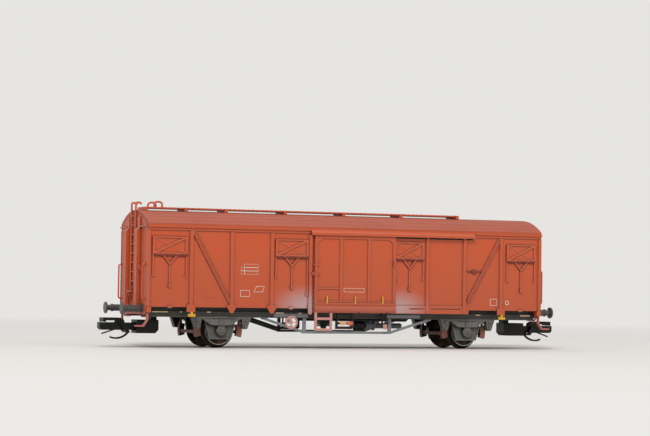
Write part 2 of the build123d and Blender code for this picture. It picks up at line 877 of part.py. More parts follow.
# Axle guards: a tapering plate with a rim, the round axle box with its cover, a stack of leaves
# that grow shorter downwards, the buckle round them, and a shackle bracket with a round foot and
# its pin at each end. The axle's point runs in a cone sunk into the box.
leaf_root = solebar_bottom - spring_drop
leaf_pitch = leaf_thick + leaf_gap
with BuildPart() as guard:
    with BuildSketch(near_plane(guard_in)):
        foot_z = axle_z - guard_drop
        shoulder_z = axle_z + box_radius
        outline(
            (-guard_top_half, solebar_bottom),
            (-guard_top_half, shoulder_z),
            (-guard_bottom_half, foot_z),
            (guard_bottom_half, foot_z),
            (guard_top_half, shoulder_z),
            (guard_top_half, solebar_bottom),
        )
    extrude(amount=guard_thick)
    with BuildSketch(near_plane(guard_out)):
        for side in (-1, 1):
            strip(
                (side * (guard_top_half - guard_rib / 2), shoulder_z),
                (side * (guard_bottom_half - guard_rib / 2), foot_z),
                guard_rib,
            )
        patch(-guard_bottom_half, guard_bottom_half, foot_z, foot_z + guard_rib)
    extrude(amount=guard_rib / 2)
    with BuildSketch(near_plane(guard_out)):
        with Locations((0, axle_z)):
            Circle(box_radius)
        patch(-neck_half, neck_half, axle_z, leaf_root)
    extrude(amount=box_proud - box_edge)
    with BuildSketch(near_plane(box_face - box_edge)):
        with Locations((0, axle_z)):
            Circle(box_radius)
    extrude(amount=box_edge, taper=2 * post_bevel)
    with BuildSketch(near_plane(box_face)):
        with Locations((0, axle_z)):
            Circle(cover_radius)
    extrude(amount=bar_thick, taper=post_bevel)
    with BuildSketch(near_plane(guard_out)):
        for leaf in range(leaf_count):
            half = leaf_half_length - (leaf_count - 1 - leaf) * leaf_step
            low = leaf_root + leaf * leaf_pitch
            high = low + leaf_thick
            rise = leaf_camber * (half / leaf_half_length) ** 2
            with BuildLine():
                ThreePointArc((-half, low + rise), (0, low), (half, low + rise))
                Line((half, low + rise), (half, high + rise))
                ThreePointArc((half, high + rise), (0, high), (-half, high + rise))
                Line((-half, high + rise), (-half, low + rise))
            make_face()
    extrude(amount=leaf_width)
    with BuildSketch(near_plane(guard_out)):
        patch(-buckle_half, buckle_half, leaf_root, leaf_root + leaf_count * leaf_pitch)
    extrude(amount=leaf_width + guard_rib / 2)
    with BuildSketch(near_plane(guard_in)):
        boss_z = solebar_bottom - shackle_drop + shackle_boss
        for side in (-1, 1):
            outline(
                (side * shackle_top_in, solebar_bottom),
                (side * shackle_top_out, solebar_bottom),
                (side * (shackle_x + shackle_boss), boss_z),
                (side * (shackle_x - shackle_boss), boss_z),
            )
            with Locations((side * shackle_x, boss_z)):
                Circle(shackle_boss)
        patch(-shackle_top_out, shackle_top_out, solebar_bottom - leaf_thick, solebar_bottom)
    extrude(amount=solebar_y - guard_in)
    with BuildSketch(near_plane(solebar_y)):
        for side in (-1, 1):
            for pin_z in (boss_z, solebar_bottom - shackle_boss):
                with Locations((side * shackle_x, pin_z)):
                    Circle(shackle_pin)
    extrude(amount=guard_rib)
    with BuildSketch(Plane.XY.offset(axle_z)):
        outline(
            (0, -guard_in),
            (journal_radius + bearing_gap, -guard_in),
            (journal_radius + bearing_gap, -axle_half + point_length),
            (point_tip + bearing_gap, -axle_half - bearing_gap),
            (0, -axle_half - bearing_gap),
        )
    revolve(axis=Axis((0, 0, axle_z), (0, 1, 0)), mode=Mode.SUBTRACT)
with BuildPart() as far_guard:
    add(guard.part)
    mirror(about=Plane.XZ, mode=Mode.REPLACE)
for end, way in ends:
    write_moved(guard, f"axle_guard_{end}_near", way * axle_x)
    write_moved(far_guard, f"axle_guard_{end}_far", way * axle_x)

# Buffers: a square base on the headstock, a stepped sleeve and a plunger with a round head.
buffer_z = sill_z - buffer_drop
buffer_face = half_length + buffer_length
sleeve_end = half_length + sleeve_length
with BuildPart() as buffers:
    for side in (-1, 1):
        with BuildSketch(Plane.YZ.offset(half_length)):
            with Locations((side * buffer_y, buffer_z)):
                Rectangle(buffer_base, buffer_base)
        extrude(amount=buffer_base_thick)
        # step along the buffer: radius, start, end
        for radius, start, stop in (
            (sleeve_radius, half_length, sleeve_end),
            (collar_radius, sleeve_end - collar_length, sleeve_end),
            (plunger_radius, sleeve_end, buffer_face - buffer_head_thick),
            (buffer_head_radius, buffer_face - buffer_head_thick, buffer_face),
        ):
            with BuildSketch(Plane.YZ.offset(start)):
                with Locations((side * buffer_y, buffer_z)):
                    Circle(radius)
            extrude(amount=stop - start)
    head_edges = buffers.edges().filter_by(GeomType.CIRCLE).group_by(Axis.X)[-1]
    chamfer(head_edges, buffer_head_bevel)
write(buffers, "buffers_right")
write_turned(buffers, "buffers_left")

# Coupler pocket: a box under the end of the floor, open at the front, hung from a pedestal,
# with the pin on which the coupler swings. Its width lets the shank swing.
pivot_x = half_length - pivot_in
pocket_back = half_length - pocket_back_in
pocket_front = half_length - pocket_front_in
pocket_top = pocket_bottom + pocket_high
swing = radians(coupler_swing)
mouth_half = (pocket_front - pivot_x) * tan(swing) + shank_width / 2 / cos(swing) + shank_gap
pocket_half = mouth_half + pocket_wall
with BuildPart() as pocket:
    with BuildSketch(Plane.XY.offset(pocket_bottom)):
        patch(pocket_back, pocket_front, -pocket_half, pocket_half)
    extrude(amount=pocket_high)
    back_edges = pocket.faces().sort_by(Axis.X)[0].edges().sort_by(Axis.Z)
    chamfer(back_edges[0], pocket_bevel)
    with BuildSketch(Plane.XY.offset(pocket_bottom + pocket_wall)):
        patch(pocket_back + pocket_wall, pocket_front, -mouth_half, mouth_half)
    extrude(amount=pocket_high - 2 * pocket_wall, mode=Mode.SUBTRACT)
    with BuildSketch(Plane.XY.offset(pocket_bottom + pocket_wall)):
        with Locations((pivot_x, 0)):
            Circle(pin_radius)
    extrude(amount=pocket_high - 2 * pocket_wall)
    with BuildSketch(Plane.XY.offset(pocket_top)):
        back = pocket_back + pedestal_in
        patch(back, back + pedestal_length, -pedestal_width / 2, pedestal_width / 2)
    extrude(amount=sill_z - pocket_top)
write(pocket, "coupler_pocket_right")
write_turned(pocket, "coupler_pocket_left")

# Coupler head: a shank with an eye round the pin, and a hook bar that carries the bow's pin.
# A notch behind the hook's nose takes the next wagon's bow, and a thin lip reaches forward below.
shank_bottom = pocket_bottom + pocket_wall + shank_gap
shank_top = pocket_top - pocket_wall - shank_gap
head_bottom = pocket_bottom + head_rise
head_top = head_bottom + head_high
head_back = half_length + head_back_out
head_front = half_length + head_front_out
bow_pivot_x = half_length + bow_pivot_out
bow_pivot_z = head_top + bow_pivot_rise
arm_in = head_width / 2 + bow_side_gap
arm_out = arm_in + bow_arm_width
with BuildPart() as head:
    with BuildSketch(Plane.XY.offset(shank_bottom)):
        with Locations((pivot_x, 0)):
            Circle(shank_eye)
        patch(pivot_x, head_back + bow_eye, -shank_width / 2, shank_width / 2)
        with Locations((pivot_x, 0)):
            Circle(pin_radius + pin_gap, mode=Mode.SUBTRACT)
    extrude(amount=shank_top - shank_bottom)
    with BuildSketch(Plane.XZ):
        cheek_z = bow_pivot_z + bow_eye * 0.7
        nose_back = head_front - hook_nose
        outline(
            (head_back, shank_bottom),
            (head_back, shank_top),
            (bow_pivot_x - bow_eye / 2, cheek_z),
            (bow_pivot_x + bow_eye * 0.7, cheek_z),
            (bow_pivot_x + bow_eye * 1.5, head_top),
            (nose_back - hook_notch, head_top),
            (nose_back - hook_notch / 2, head_top - hook_notch / 2),
            (nose_back, head_top),
            (head_front, head_top),
            (head_front, head_bottom + head_high / 4),
            (head_front - head_high / 4, head_bottom),
            (head_back + head_high, head_bottom),
        )
    extrude(amount=head_width / 2, both=True)
    with BuildSketch(near_plane(lip_y - lip_width / 2)):
        strip(
            (half_length + lip_back_out, head_bottom + lip_thick / 2),
            (half_length + lip_tip_out, head_bottom - lip_drop),
            lip_thick,
        )
    extrude(amount=lip_width)
    with BuildSketch(near_plane(-arm_out)):
        with Locations((bow_pivot_x, bow_pivot_z)):
            Circle(bow_pin_radius)
    extrude(amount=2 * arm_out)
write(head, "coupler_head_right")
write_turned(head, "coupler_head_left")

# Coupler bow: two arms that turn on the head's pin, a bar across their fronts that rests on
# the hook bar, and a curved tail below that lifts the bow when it is pushed up.
bow_front = half_length + bow_front_out
bow_top = head_top + bow_rise
rest_z = head_top + bow_rest_gap
root_x = half_length + tail_root_out
root_z = pocket_bottom + tail_root_rise
low_x = half_length + tail_low_out
low_z = pocket_bottom - tail_low_drop
tip_x = half_length + tail_tip_out
tip_z = pocket_bottom - tail_tip_drop
with BuildPart() as bow:
    with BuildSketch(near_plane(-arm_out)):
        with Locations((bow_pivot_x, bow_pivot_z)):
            Circle(bow_eye)
        patch(bow_pivot_x, bow_front, bow_top - bow_bar, bow_top)
        patch(bow_front - bow_bar, bow_front, rest_z, bow_top)
        outline(
            (bow_pivot_x - bow_eye, bow_pivot_z),
            (root_x - tail_thick / 2, root_z),
            (root_x + 2 * tail_thick, root_z),
            (bow_pivot_x + bow_eye, bow_pivot_z),
        )
        with Locations((bow_pivot_x, bow_pivot_z)):
            Circle(bow_pin_radius + pin_gap, mode=Mode.SUBTRACT)
    extrude(amount=2 * arm_out)
    with BuildSketch(near_plane(-arm_in)):
        patch(root_x - 4 * tail_thick, bow_front - bow_bar, shank_bottom - shank_gap, bow_top + bow_bar)
    extrude(amount=2 * arm_in, mode=Mode.SUBTRACT)
    with BuildSketch(near_plane(-tail_width / 2)):
        top_z = root_z + tail_thick / 2
        with BuildLine():
            ThreePointArc((root_x, top_z), (low_x, low_z), (tip_x, tip_z))
            Line((tip_x, tip_z), (tip_x, tip_z - tail_thick))
            ThreePointArc(
                (tip_x, tip_z - tail_thick),
                (low_x - tail_thick / 2, low_z - tail_thick),
                (root_x - tail_thick, top_z),
            )
            Line((root_x - tail_thick, top_z), (root_x, top_z))
        make_face()
    extrude(amount=tail_width)
write(bow, "coupler_bow_right")
write_turned(bow, "coupler_bow_left")

# Brake rigging: a shoe on each side of each wheel, hung from the floor, with a beam across
# the wagon between the two shoes of a pair.
shoe_inner = tread_radius + flange_depth + shoe_gap
shoe_outer = shoe_inner + shoe_thick
shoe_middle = (shoe_inner + shoe_outer) / 2
shoe_y = wheel_in + shoe_in
with BuildPart() as rigging:
    for lean in (-1, 1):
        with BuildSketch(near_plane(shoe_y)):
            with Locations((0, axle_z)):
                Circle(shoe_outer)
                Circle(shoe_inner, mode=Mode.SUBTRACT)
            reach = 2 * shoe_outer
            spread = reach * tan(radians(shoe_half_angle))
            outline(
                (0, axle_z),
                (lean * reach, axle_z - spread),
                (lean * reach, axle_z + spread),
                mode=Mode.INTERSECT,
            )
        extrude(amount=shoe_width)
        hang_x = lean * shoe_middle
        with BuildSketch(near_plane(shoe_y + (shoe_width - hanger_size) / 2)):
            patch(hang_x - hanger_size / 2, hang_x + hanger_size / 2, axle_z, sill_z)
        extrude(amount=hanger_size)
        with BuildSketch(near_plane(0)):
            patch(hang_x - beam_size / 2, hang_x + beam_size / 2, axle_z - beam_size, axle_z)
        extrude(amount=shoe_y + shoe_width / 2)
    mirror(about=Plane.XZ)
for end, way in ends:
    write_moved(rigging, f"brake_rigging_{end}", way * axle_x)

# Truss rods: a flat bar below each solebar, held down by two posts, with pads at its ends.
truss_y = solebar_y - truss_in
truss_end = axle_x - truss_to_axle
truss_z = solebar_bottom - truss_drop
with BuildPart() as truss:
    with BuildSketch(near_plane(truss_y - truss_thick / 2)):
        strip((-truss_post_x, truss_z), (truss_post_x, truss_z), truss_size)
        for side in (-1, 1):
            post = side * truss_post_x
            strip((post, truss_z), (side * truss_end, solebar_bottom), truss_size)
            patch(
                post - truss_post_width / 2,
                post + truss_post_width / 2,
                truss_z - truss_size / 2,
                solebar_bottom,
            )
            with Locations((post, truss_z)):
                Circle(truss_size / 2)
            pad = side * (truss_end - truss_pad / 2)
            patch(pad - truss_pad / 2, pad + truss_pad / 2, solebar_bottom - truss_size / 2, solebar_bottom)
        patch(-axle_x, axle_x, solebar_bottom, sill_z, Mode.SUBTRACT)
    extrude(amount=truss_thick)
write(truss, "truss_rod_near")
write_turned(truss, "truss_rod_far")

# Brake cylinder: a short drum with a rimmed cover and its return spring case, hung from the
# floor.
cylinder_z = sill_z - cylinder_drop
drum_end = cylinder_x + cylinder_length
with BuildPart() as cylinder:
    # stretch of the cylinder: radius, start, end
    for radius, start, stop in (
        (cylinder_radius - cylinder_rim / 2, cylinder_x, drum_end),
        (cylinder_radius, drum_end - cylinder_rim, drum_end),
        (cylinder_radius, cylinder_x, cylinder_x + cylinder_rim),
        (spring_case_radius, drum_end, drum_end + spring_case_length),
    ):
        with BuildSketch(Plane.YZ.offset(start)):
            with Locations((cylinder_y, cylinder_z)):
                Circle(radius)
        extrude(amount=stop - start)
    with BuildSketch(Plane.YZ.offset(cylinder_x + 2 * cylinder_rim)):
        half = cylinder_radius / 2
        patch(cylinder_y - half, cylinder_y + half, cylinder_z, sill_z - floor_rib_high)
    extrude(amount=cylinder_length - 4 * cylinder_rim)
write(cylinder, "brake_cylinder")

# Air tank: a short drum with bevelled ends beside the cylinder, on two straps from the floor's rib.
tank_z = sill_z - tank_drop
with BuildPart() as tank:
    with BuildSketch(Plane.YZ.offset(tank_x)):
        with Locations((tank_y, tank_z)):
            Circle(tank_radius)
    extrude(amount=tank_length)
    chamfer(tank.faces().filter_by(Axis.X).edges(), tank_radius / 4)
    for share in (1, 3):
        middle = tank_x + share * tank_length / 4
        with BuildSketch(Plane.YZ.offset(middle - hanger_size / 2)):
            patch(tank_y - tank_radius / 3, tank_y + tank_radius / 3, tank_z, sill_z - floor_rib_high)
        extrude(amount=hanger_size)
write(tank, "air_tank")

# Brake valve: a block under the floor with a round bowl below it.
with BuildPart() as valve:
    with BuildSketch(Plane.XY.offset(tank_z)):
        with Locations((valve_x, valve_y)):
            Rectangle(valve_width, valve_width)
    extrude(amount=sill_z - tank_z)
    with BuildSketch(Plane.XY.offset(tank_z)):
        with Locations((valve_x, valve_y)):
            Circle(valve_bowl)
    extrude(amount=-valve_bowl, taper=post_bevel)
write(valve, "brake_valve")

# Hand brake wheel: a spoked ring on a shaft from the solebar, standing out past the side.
wheel_y = half_width + hand_wheel_out
hand_wheel_z = sill_z - hand_wheel_drop
with BuildPart() as hand_wheel:
    with BuildSketch(near_plane(wheel_y)):
        with Locations((hand_wheel_x, hand_wheel_z)):
            Circle(hand_wheel_radius)
            Circle(hand_wheel_radius - hand_wheel_rim, mode=Mode.SUBTRACT)
            Circle(hand_wheel_hub)
            Rectangle(2 * hand_wheel_radius - hand_wheel_rim, hand_wheel_spoke)
            Rectangle(hand_wheel_spoke, 2 * hand_wheel_radius - hand_wheel_rim)
    extrude(amount=hand_wheel_rim)
    with BuildSketch(near_plane(solebar_y)):
        with Locations((hand_wheel_x, hand_wheel_z)):
            Circle(hand_wheel_hub)
    extrude(amount=wheel_y - solebar_y)
    with BuildSketch(near_plane(solebar_y)):
        patch(
            hand_wheel_x - hand_wheel_hub,
            hand_wheel_x + hand_wheel_hub,
            hand_wheel_z,
            solebar_bottom + solebar_groove,
        )
    extrude(amount=hand_wheel_hub)
write(hand_wheel, "hand_brake_wheel_near")
write_turned(hand_wheel, "hand_brake_wheel_far")

# Door step: two hangers below the door's sill with two treads between them.
with BuildPart() as step:
    with BuildSketch(near_plane(half_width + step_out)):
        low_z = sill_z - step_drop
        for x in (step_left, step_right):
            patch(x - step_bar / 2, x + step_bar / 2, low_z - step_bar / 2, skirt_bottom)
        for z in (sill_z - step_rung_drop, low_z):
            patch(step_left, step_right, z - step_bar / 2, z + step_bar / 2)
    extrude(amount=step_thick)
write(step, "door_step_near")
write_turned(step, "door_step_far")

# Brake change-over levers: a bent wire loop round a small plate, and a short forked lever with
# a plate at its foot, both on arms from the solebar.
lever_y = solebar_y + lever_out
lever_top = solebar_bottom + solebar_step
lever_z = sill_z - lever_drop
load_z = sill_z - load_lever_drop
with BuildPart() as levers:
    with BuildSketch(near_plane(lever_y - lever_wire)):
        patch(lever_left, lever_right, lever_z, lever_top)
        patch(
            lever_left + lever_wire,
            lever_right - lever_wire,
            lever_z + lever_wire,
            lever_top - lever_wire,
            Mode.SUBTRACT,
        )
        plate_z = (lever_z + solebar_bottom) / 2
        patch(lever_left, lever_right, plate_z - lever_plate_high / 2, plate_z + lever_plate_high / 2)
        patch(load_lever_left, load_lever_left + lever_wire, load_z, lever_top)
        patch(load_lever_right - lever_wire, load_lever_right, load_z, lever_top)
        patch(load_lever_left, load_lever_right, load_z - load_plate_high / 2, load_z + load_plate_high / 2)
    extrude(amount=lever_wire)
    with BuildSketch(near_plane(solebar_y)):
        for left, right in ((lever_left, lever_right), (load_lever_left, load_lever_right)):
            patch(left, right, lever_top - solebar_groove, lever_top)
    extrude(amount=lever_y - solebar_y)
write(levers, "brake_levers_near")
write_turned(levers, "brake_levers_far")

# End ladder: two round rails whose tops hook over the roof, rungs between them, stays to the
# wall, and at its foot a tread on two bracket plates.
ladder_x = -half_length - ladder_rod - fit_gap
ladder_bottom = sill_z + ladder_foot
ladder_top = ridge_z + ladder_rise
tread_z = sill_z + foot_tread_rise
with BuildPart() as ladder:
    for side in (-1, 1):
        y = side * ladder_half
        bent_rod(
            (
                (ladder_x, y, tread_z),
                (ladder_x, y, ladder_top),
                (ladder_x + ladder_return, y, ladder_top),
                (ladder_x + ladder_return, y, ladder_top - ladder_tip),
            ),
            Plane((ladder_x, y, tread_z)),
            ladder_rod,
            1.7 * ladder_rod,
        )
    pitch = (ridge_z - ladder_bottom) / ladder_rungs
    for rung in range(ladder_rungs):
        with BuildSketch(near_plane(-ladder_half)):
            with Locations((ladder_x, ladder_bottom + pitch / 3 + rung * pitch)):
                Circle(rung_radius)
        extrude(amount=2 * ladder_half)
    for z in (ladder_bottom + ladder_stay, eave_z - pitch):
        with BuildSketch(Plane.XY.offset(z)):
            for side in (-1, 1):
                y = side * ladder_half
                patch(ladder_x, -half_length, y - ladder_stay / 2, y + ladder_stay / 2)
        extrude(amount=ladder_stay)
    with BuildSketch(Plane.XY.offset(tread_z)):
        reach = ladder_half + ladder_rod
        patch(-half_length - foot_tread_out, -half_length, -reach, reach)
    extrude(amount=foot_tread_thick)
    for side in (-1, 1):
        with BuildSketch(near_plane(side * foot_plate_y - foot_tread_thick / 2)):
            outline(
                (-half_length, tread_z),
                (-half_length - foot_tread_out, tread_z),
                (-half_length - foot_tread_thick, tread_z - foot_plate_high),
                (-half_length, tread_z - foot_plate_high),
            )
        extrude(amount=foot_tread_thick)
write(ladder, "end_ladder")

# Roof walkway: planks on chairs that sit on the arched roof.
walkway_left = -half_length + walkway_left_in
walkway_right = walkway_left + walkway_length
walkway_z = ridge_z + walkway_rise
# chair: how many pitches from the left one
walkway_chairs = (0, 0.65, 1.31, 2.3, 3.3, 4.3, 5.31)
chair_pitch = (walkway_length - chair_width) / walkway_chairs[-1]
with BuildPart() as walkway:
    plank_width = (2 * walkway_half - (plank_count - 1) * plank_gap) / plank_count
    with BuildSketch(Plane.XY.offset(walkway_z - plank_thick)):
        for plank in range(plank_count):
            low = -walkway_half + plank * (plank_width + plank_gap)
            patch(walkway_left, walkway_right, low, low + plank_width)
    extrude(amount=plank_thick)
    with BuildSketch(Plane.XY.offset(eave_z)):
        for place in walkway_chairs:
            left = walkway_left + place * chair_pitch
            patch(left, left + chair_width, -walkway_half - chair_proud, walkway_half + chair_proud)
    extrude(amount=walkway_z - plank_thick - eave_z)
    with BuildSketch(Plane.XY.offset(walkway_z - plank_thick)):
        for place in walkway_chairs:
            left = walkway_left + place * chair_pitch
            for side in (-1, 1):
                cheek = side * (walkway_half + chair_proud / 2)
                patch(left, left + chair_width, cheek - chair_proud / 2, cheek + chair_proud / 2)
    extrude(amount=plank_thick)
    with BuildSketch(Plane.YZ.offset(-half_length)):
        with Locations((0, roof_centre_z)):
            Circle(roof_radius)
    extrude(amount=body_length, mode=Mode.SUBTRACT)
write(walkway, "roof_walkway")

# Grab hoops: two bent rods on the edges of the walkway at the head of the ladder.
hoop_left = -half_length + hoop_in
hoop_right = hoop_left + hoop_length
with BuildPart() as hoops:
    for side in (-1, 1):
        y = side * (walkway_half - hoop_rod)
        bent_rod(
            (
                (hoop_left, y, walkway_z),
                (hoop_left, y, walkway_z + hoop_high),
                (hoop_right, y, walkway_z + hoop_high),
                (hoop_right, y, walkway_z),
            ),
            Plane((hoop_left, y, walkway_z)),
            hoop_rod,
            hoop_bend,
        )
write(hoops, "roof_grab_hoops")

# Corner handrails: a bent rod at each corner of the end walls.
with BuildPart() as handrails:
    for way in (-1, 1):
        for side in (-1, 1):
            x = way * half_length
            y = side * (half_width - handrail_in)
            foot_z = sill_z + handrail_foot
            bent_rod(
                (
                    (x, y, foot_z),
                    (x + way * handrail_out, y, foot_z),
                    (x + way * handrail_out, y, foot_z + handrail_high),
                    (x, y, foot_z + handrail_high),
                ),
                Plane((x, y, foot_z), z_dir=(way, 0, 0)),
                handrail_rod,
                2 * handrail_rod,
            )
write(handrails, "corner_handrails")

# Corner steps: under each corner two bars that bend outwards, with a tread between them.
with BuildPart() as corner_steps:
    for way in (-1, 1):
        for side in (-1, 1):
            hanger_x = half_length - corner_step_thick
            head = (way * hanger_x, sill_z - corner_foot_drop)
            bend = (way * hanger_x, sill_z - corner_step_bend)
            knee = (way * (half_length + corner_step_knee), sill_z - corner_step_drop)
            toe = (way * (half_length + corner_step_out), sill_z - corner_step_drop)
            inner = wall_in if side > 0 else -half_width
            for start in (inner, inner + wall - corner_step_bar):
                with BuildSketch(near_plane(-start - corner_step_bar)):
                    for low, high in ((head, bend), (bend, knee), (knee, toe)):
                        strip(low, high, corner_step_thick)
                    for x, z in (bend, knee):
                        with Locations((x, z)):
                            Circle(corner_step_thick / 2)
                extrude(amount=corner_step_bar)
            with BuildSketch(near_plane(-inner - wall)):
                strip(knee, toe, corner_step_thick)
            extrude(amount=wall)
write(corner_steps, "corner_steps")

# Shunters' handles: a bent rod under the headstock below each buffer.
with BuildPart() as handles:
    for way in (-1, 1):
        for side in (-1, 1):
            x = way * (half_length - headstock_thick + shunter_rod)
            low_z = headstock_bottom - shunter_drop
            bent_rod(
                (
                    (x, side * shunter_in, headstock_bottom),
                    (x, side * shunter_in, low_z),
                    (x, side * shunter_out, low_z),
                    (x, side * shunter_out, headstock_bottom),
                ),
                Plane((x, side * shunter_in, headstock_bottom)),
                shunter_rod,
                1.5 * shunter_rod,
            )
write(handles, "shunter_handles")

# Lashing hooks: plates like small anchors under the wide brackets of each side.
with BuildPart() as hooks:
    top_z = sill_z - bracket_drop
    foot_z = top_z - hook_drop
    for side in (-1, 1):
        start = half_width if side > 0 else -half_width - hook_thick
        for x in bracket_posts:
            middle = side * (x + hook_offset)
            with BuildSketch(near_plane(start)):
                patch(middle - hook_shank / 2, middle + hook_shank / 2, foot_z, top_z)
                patch(middle - hook_width / 2, middle + hook_width / 2, foot_z, foot_z + hook_bar)
                for edge in (-1, 1):
                    tip = middle + edge * (hook_width - hook_tip) / 2
                    patch(tip - hook_tip / 2, tip + hook_tip / 2, foot_z, foot_z + hook_tip_high)
            extrude(amount=hook_thick)
write(hooks, "lashing_hooks")
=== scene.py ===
import math

import bmesh
import bpy
from mathutils import Matrix, Vector


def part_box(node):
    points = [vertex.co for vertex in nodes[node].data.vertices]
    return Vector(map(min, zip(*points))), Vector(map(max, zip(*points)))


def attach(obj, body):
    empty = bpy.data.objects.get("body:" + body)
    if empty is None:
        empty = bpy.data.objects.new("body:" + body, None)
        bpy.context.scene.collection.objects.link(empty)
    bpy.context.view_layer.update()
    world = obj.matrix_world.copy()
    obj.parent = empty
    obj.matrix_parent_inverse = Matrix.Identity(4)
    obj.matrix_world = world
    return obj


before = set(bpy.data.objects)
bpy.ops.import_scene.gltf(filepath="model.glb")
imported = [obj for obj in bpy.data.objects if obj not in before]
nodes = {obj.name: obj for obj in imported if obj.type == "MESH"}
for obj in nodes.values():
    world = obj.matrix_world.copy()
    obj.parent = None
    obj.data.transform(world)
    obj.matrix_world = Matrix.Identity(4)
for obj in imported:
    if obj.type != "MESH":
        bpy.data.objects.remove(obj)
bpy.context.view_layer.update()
mm = 0.001


# Floor, solebars and headstocks: a black moulded tray that carries the body, two long sills
# sprayed dark grey, and the beams across its ends in body colour. A steel plate lies on the
# floor inside for weight.
def linear(colour):
    """A hex sRGB colour as linear red, green, blue and alpha."""
    parts = [int(colour[i : i + 2], 16) / 255 for i in (1, 3, 5)]
    return [c / 12.92 if c <= 0.04045 else ((c + 0.055) / 1.055) ** 2.4 for c in parts] + [1]


def add_node(tree, kind, settings=None, links=None):
    """Adds a node. Lower-case settings are its options, the others are input sockets. A colour
    is given as hex, and a link may be a node, whose first live output is taken."""
    node = tree.nodes.new(kind)
    for name, value in (settings or {}).items():
        if isinstance(name, str) and name.islower():
            setattr(node, name, value)
        else:
            is_colour = isinstance(value, str) and value.startswith("#")
            node.inputs[name].default_value = linear(value) if is_colour else value
    for name, source in (links or {}).items():
        if isinstance(source, bpy.types.Node):
            source = next(socket for socket in source.outputs if socket.enabled)
        tree.links.new(source, node.inputs[name])
    return node


def new_material(name):
    """A material with an empty node tree."""
    material = bpy.data.materials.new(name)
    material.use_nodes = True
    material.node_tree.nodes.clear()
    return material, material.node_tree


# Painted highlights lie on a model's outer edges over this width, and painted shade darkens it
# within a reach of its inner corners that is given for each material. Both are drawn wider than
# real, so that they show at all.
edge_mm = 0.12


def moulded(
    name, colour, second, edge, shade_colour, roughness, shade_strength=0.6, shade_reach_mm=0.5, index=1.49, tint=None
):
    """Moulded plastic, bare or sprayed: soft patches of a second tone, painted shade in the inner
    corners that ambient occlusion finds, painted highlights on the outer edges that lie open, and a
    fine grain. tint may change the tone before the painted shade."""
    material, tree = new_material(name)
    place = add_node(tree, "ShaderNodeTexCoord").outputs["Object"]
    patches = add_node(
        tree,
        "ShaderNodeTexNoise",
        {"Scale": 1 / (9 * mm), "Detail": 4, "Roughness": 0.6},
        {"Vector": place},
    )
    patch_share = add_node(
        tree, "ShaderNodeMapRange", {"From Min": 0.35, "From Max": 0.65}, {"Value": patches}
    )
    tone = add_node(
        tree, "ShaderNodeMix", {"data_type": "RGBA", 6: colour, 7: second}, {0: patch_share}
    )
    if tint:
        tone = tint(tree, place, tone)
    # Painted shade: where ambient occlusion finds an inner corner, the tone is mixed towards a dark
    # colour.
    corner = add_node(
        tree, "ShaderNodeAmbientOcclusion", {"samples": 8, "Distance": shade_reach_mm * mm}
    ).outputs["AO"]
    corner_shade_amount = add_node(
        tree,
        "ShaderNodeMapRange",
        {"From Min": 0.97, "From Max": 0.6, "To Max": shade_strength},
        {"Value": corner},
    )
    shaded_tone = add_node(
        tree, "ShaderNodeMix", {"data_type": "RGBA", 7: shade_colour}, {0: corner_shade_amount, 6: tone}
    )
    # Painted highlight: outer edges, found where rounded and flat normals differ, are mixed towards
    # the pale edge colour where they lie in the open.
    rounded = add_node(tree, "ShaderNodeBevel", {"samples": 6, "Radius": edge_mm * mm})
    flat = add_node(tree, "ShaderNodeNewGeometry").outputs["Normal"]
    turned = add_node(
        tree, "ShaderNodeVectorMath", {"operation": "DOT_PRODUCT"}, {0: rounded, 1: flat}
    ).outputs["Value"]
    bent = add_node(
        tree,
        "ShaderNodeMapRange",
        {"From Min": 0.995, "From Max": 0.9, "To Max": 0.95},
        {"Value": turned},
    )
    in_light = add_node(
        tree, "ShaderNodeMapRange", {"From Min": 0.45, "From Max": 0.8}, {"Value": corner}
    )
    highlight_amount = add_node(tree, "ShaderNodeMath", {"operation": "MULTIPLY"}, {0: bent, 1: in_light})
    highlighted_tone = add_node(tree, "ShaderNodeMix", {"data_type": "RGBA", 7: edge}, {0: highlight_amount, 6: shaded_tone})
    grain = add_node(
        tree,
        "ShaderNodeTexNoise",
        {"Scale": 1 / (0.25 * mm), "Detail": 2},
        {"Vector": place},
    )
    bump = add_node(
        tree,
        "ShaderNodeBump",
        {"Strength": 0.6, "Distance": 0.005 * mm},
        {"Height": grain, "Normal": rounded},
    )
    gloss = add_node(
        tree,
        "ShaderNodeMapRange",
        {"To Min": roughness - 0.06, "To Max": roughness + 0.06},
        {"Value": patches},
    )
    shader = add_node(
        tree,
        "ShaderNodeBsdfPrincipled",
        {"IOR": index},
        {"Base Color": highlighted_tone, "Roughness": gloss, "Normal": bump},
    )
    add_node(tree, "ShaderNodeOutputMaterial", links={"Surface": shader})
    return material


def dress(material, *names):
    """Gives CAD nodes their material."""
    for name in names:
        nodes[name].data.materials.clear()
        nodes[name].data.materials.append(material)


def inward_face_shade(tree, place, tone):
    """Painted shade: faces that look inwards, towards the wagon's middle, are darkened to near
    black.
    """
    side = add_node(tree, "ShaderNodeSeparateXYZ", links={"Vector": place}).outputs["Y"]
    facing = add_node(tree, "ShaderNodeNewGeometry").outputs["Normal"]
    facing = add_node(tree, "ShaderNodeSeparateXYZ", links={"Vector": facing}).outputs["Y"]
    sign = add_node(tree, "ShaderNodeMath", {"operation": "SIGN"}, {0: side})
    outward = add_node(tree, "ShaderNodeMath", {"operation": "MULTIPLY"}, {0: facing, 1: sign})
    inward_dark = add_node(
        tree, "ShaderNodeMapRange", {"From Min": -0.1, "From Max": -0.4}, {"Value": outward}
    )
    return add_node(tree, "ShaderNodeMix", {"data_type": "RGBA", 7: "#0d0d0d"}, {0: inward_dark, 6: tone})


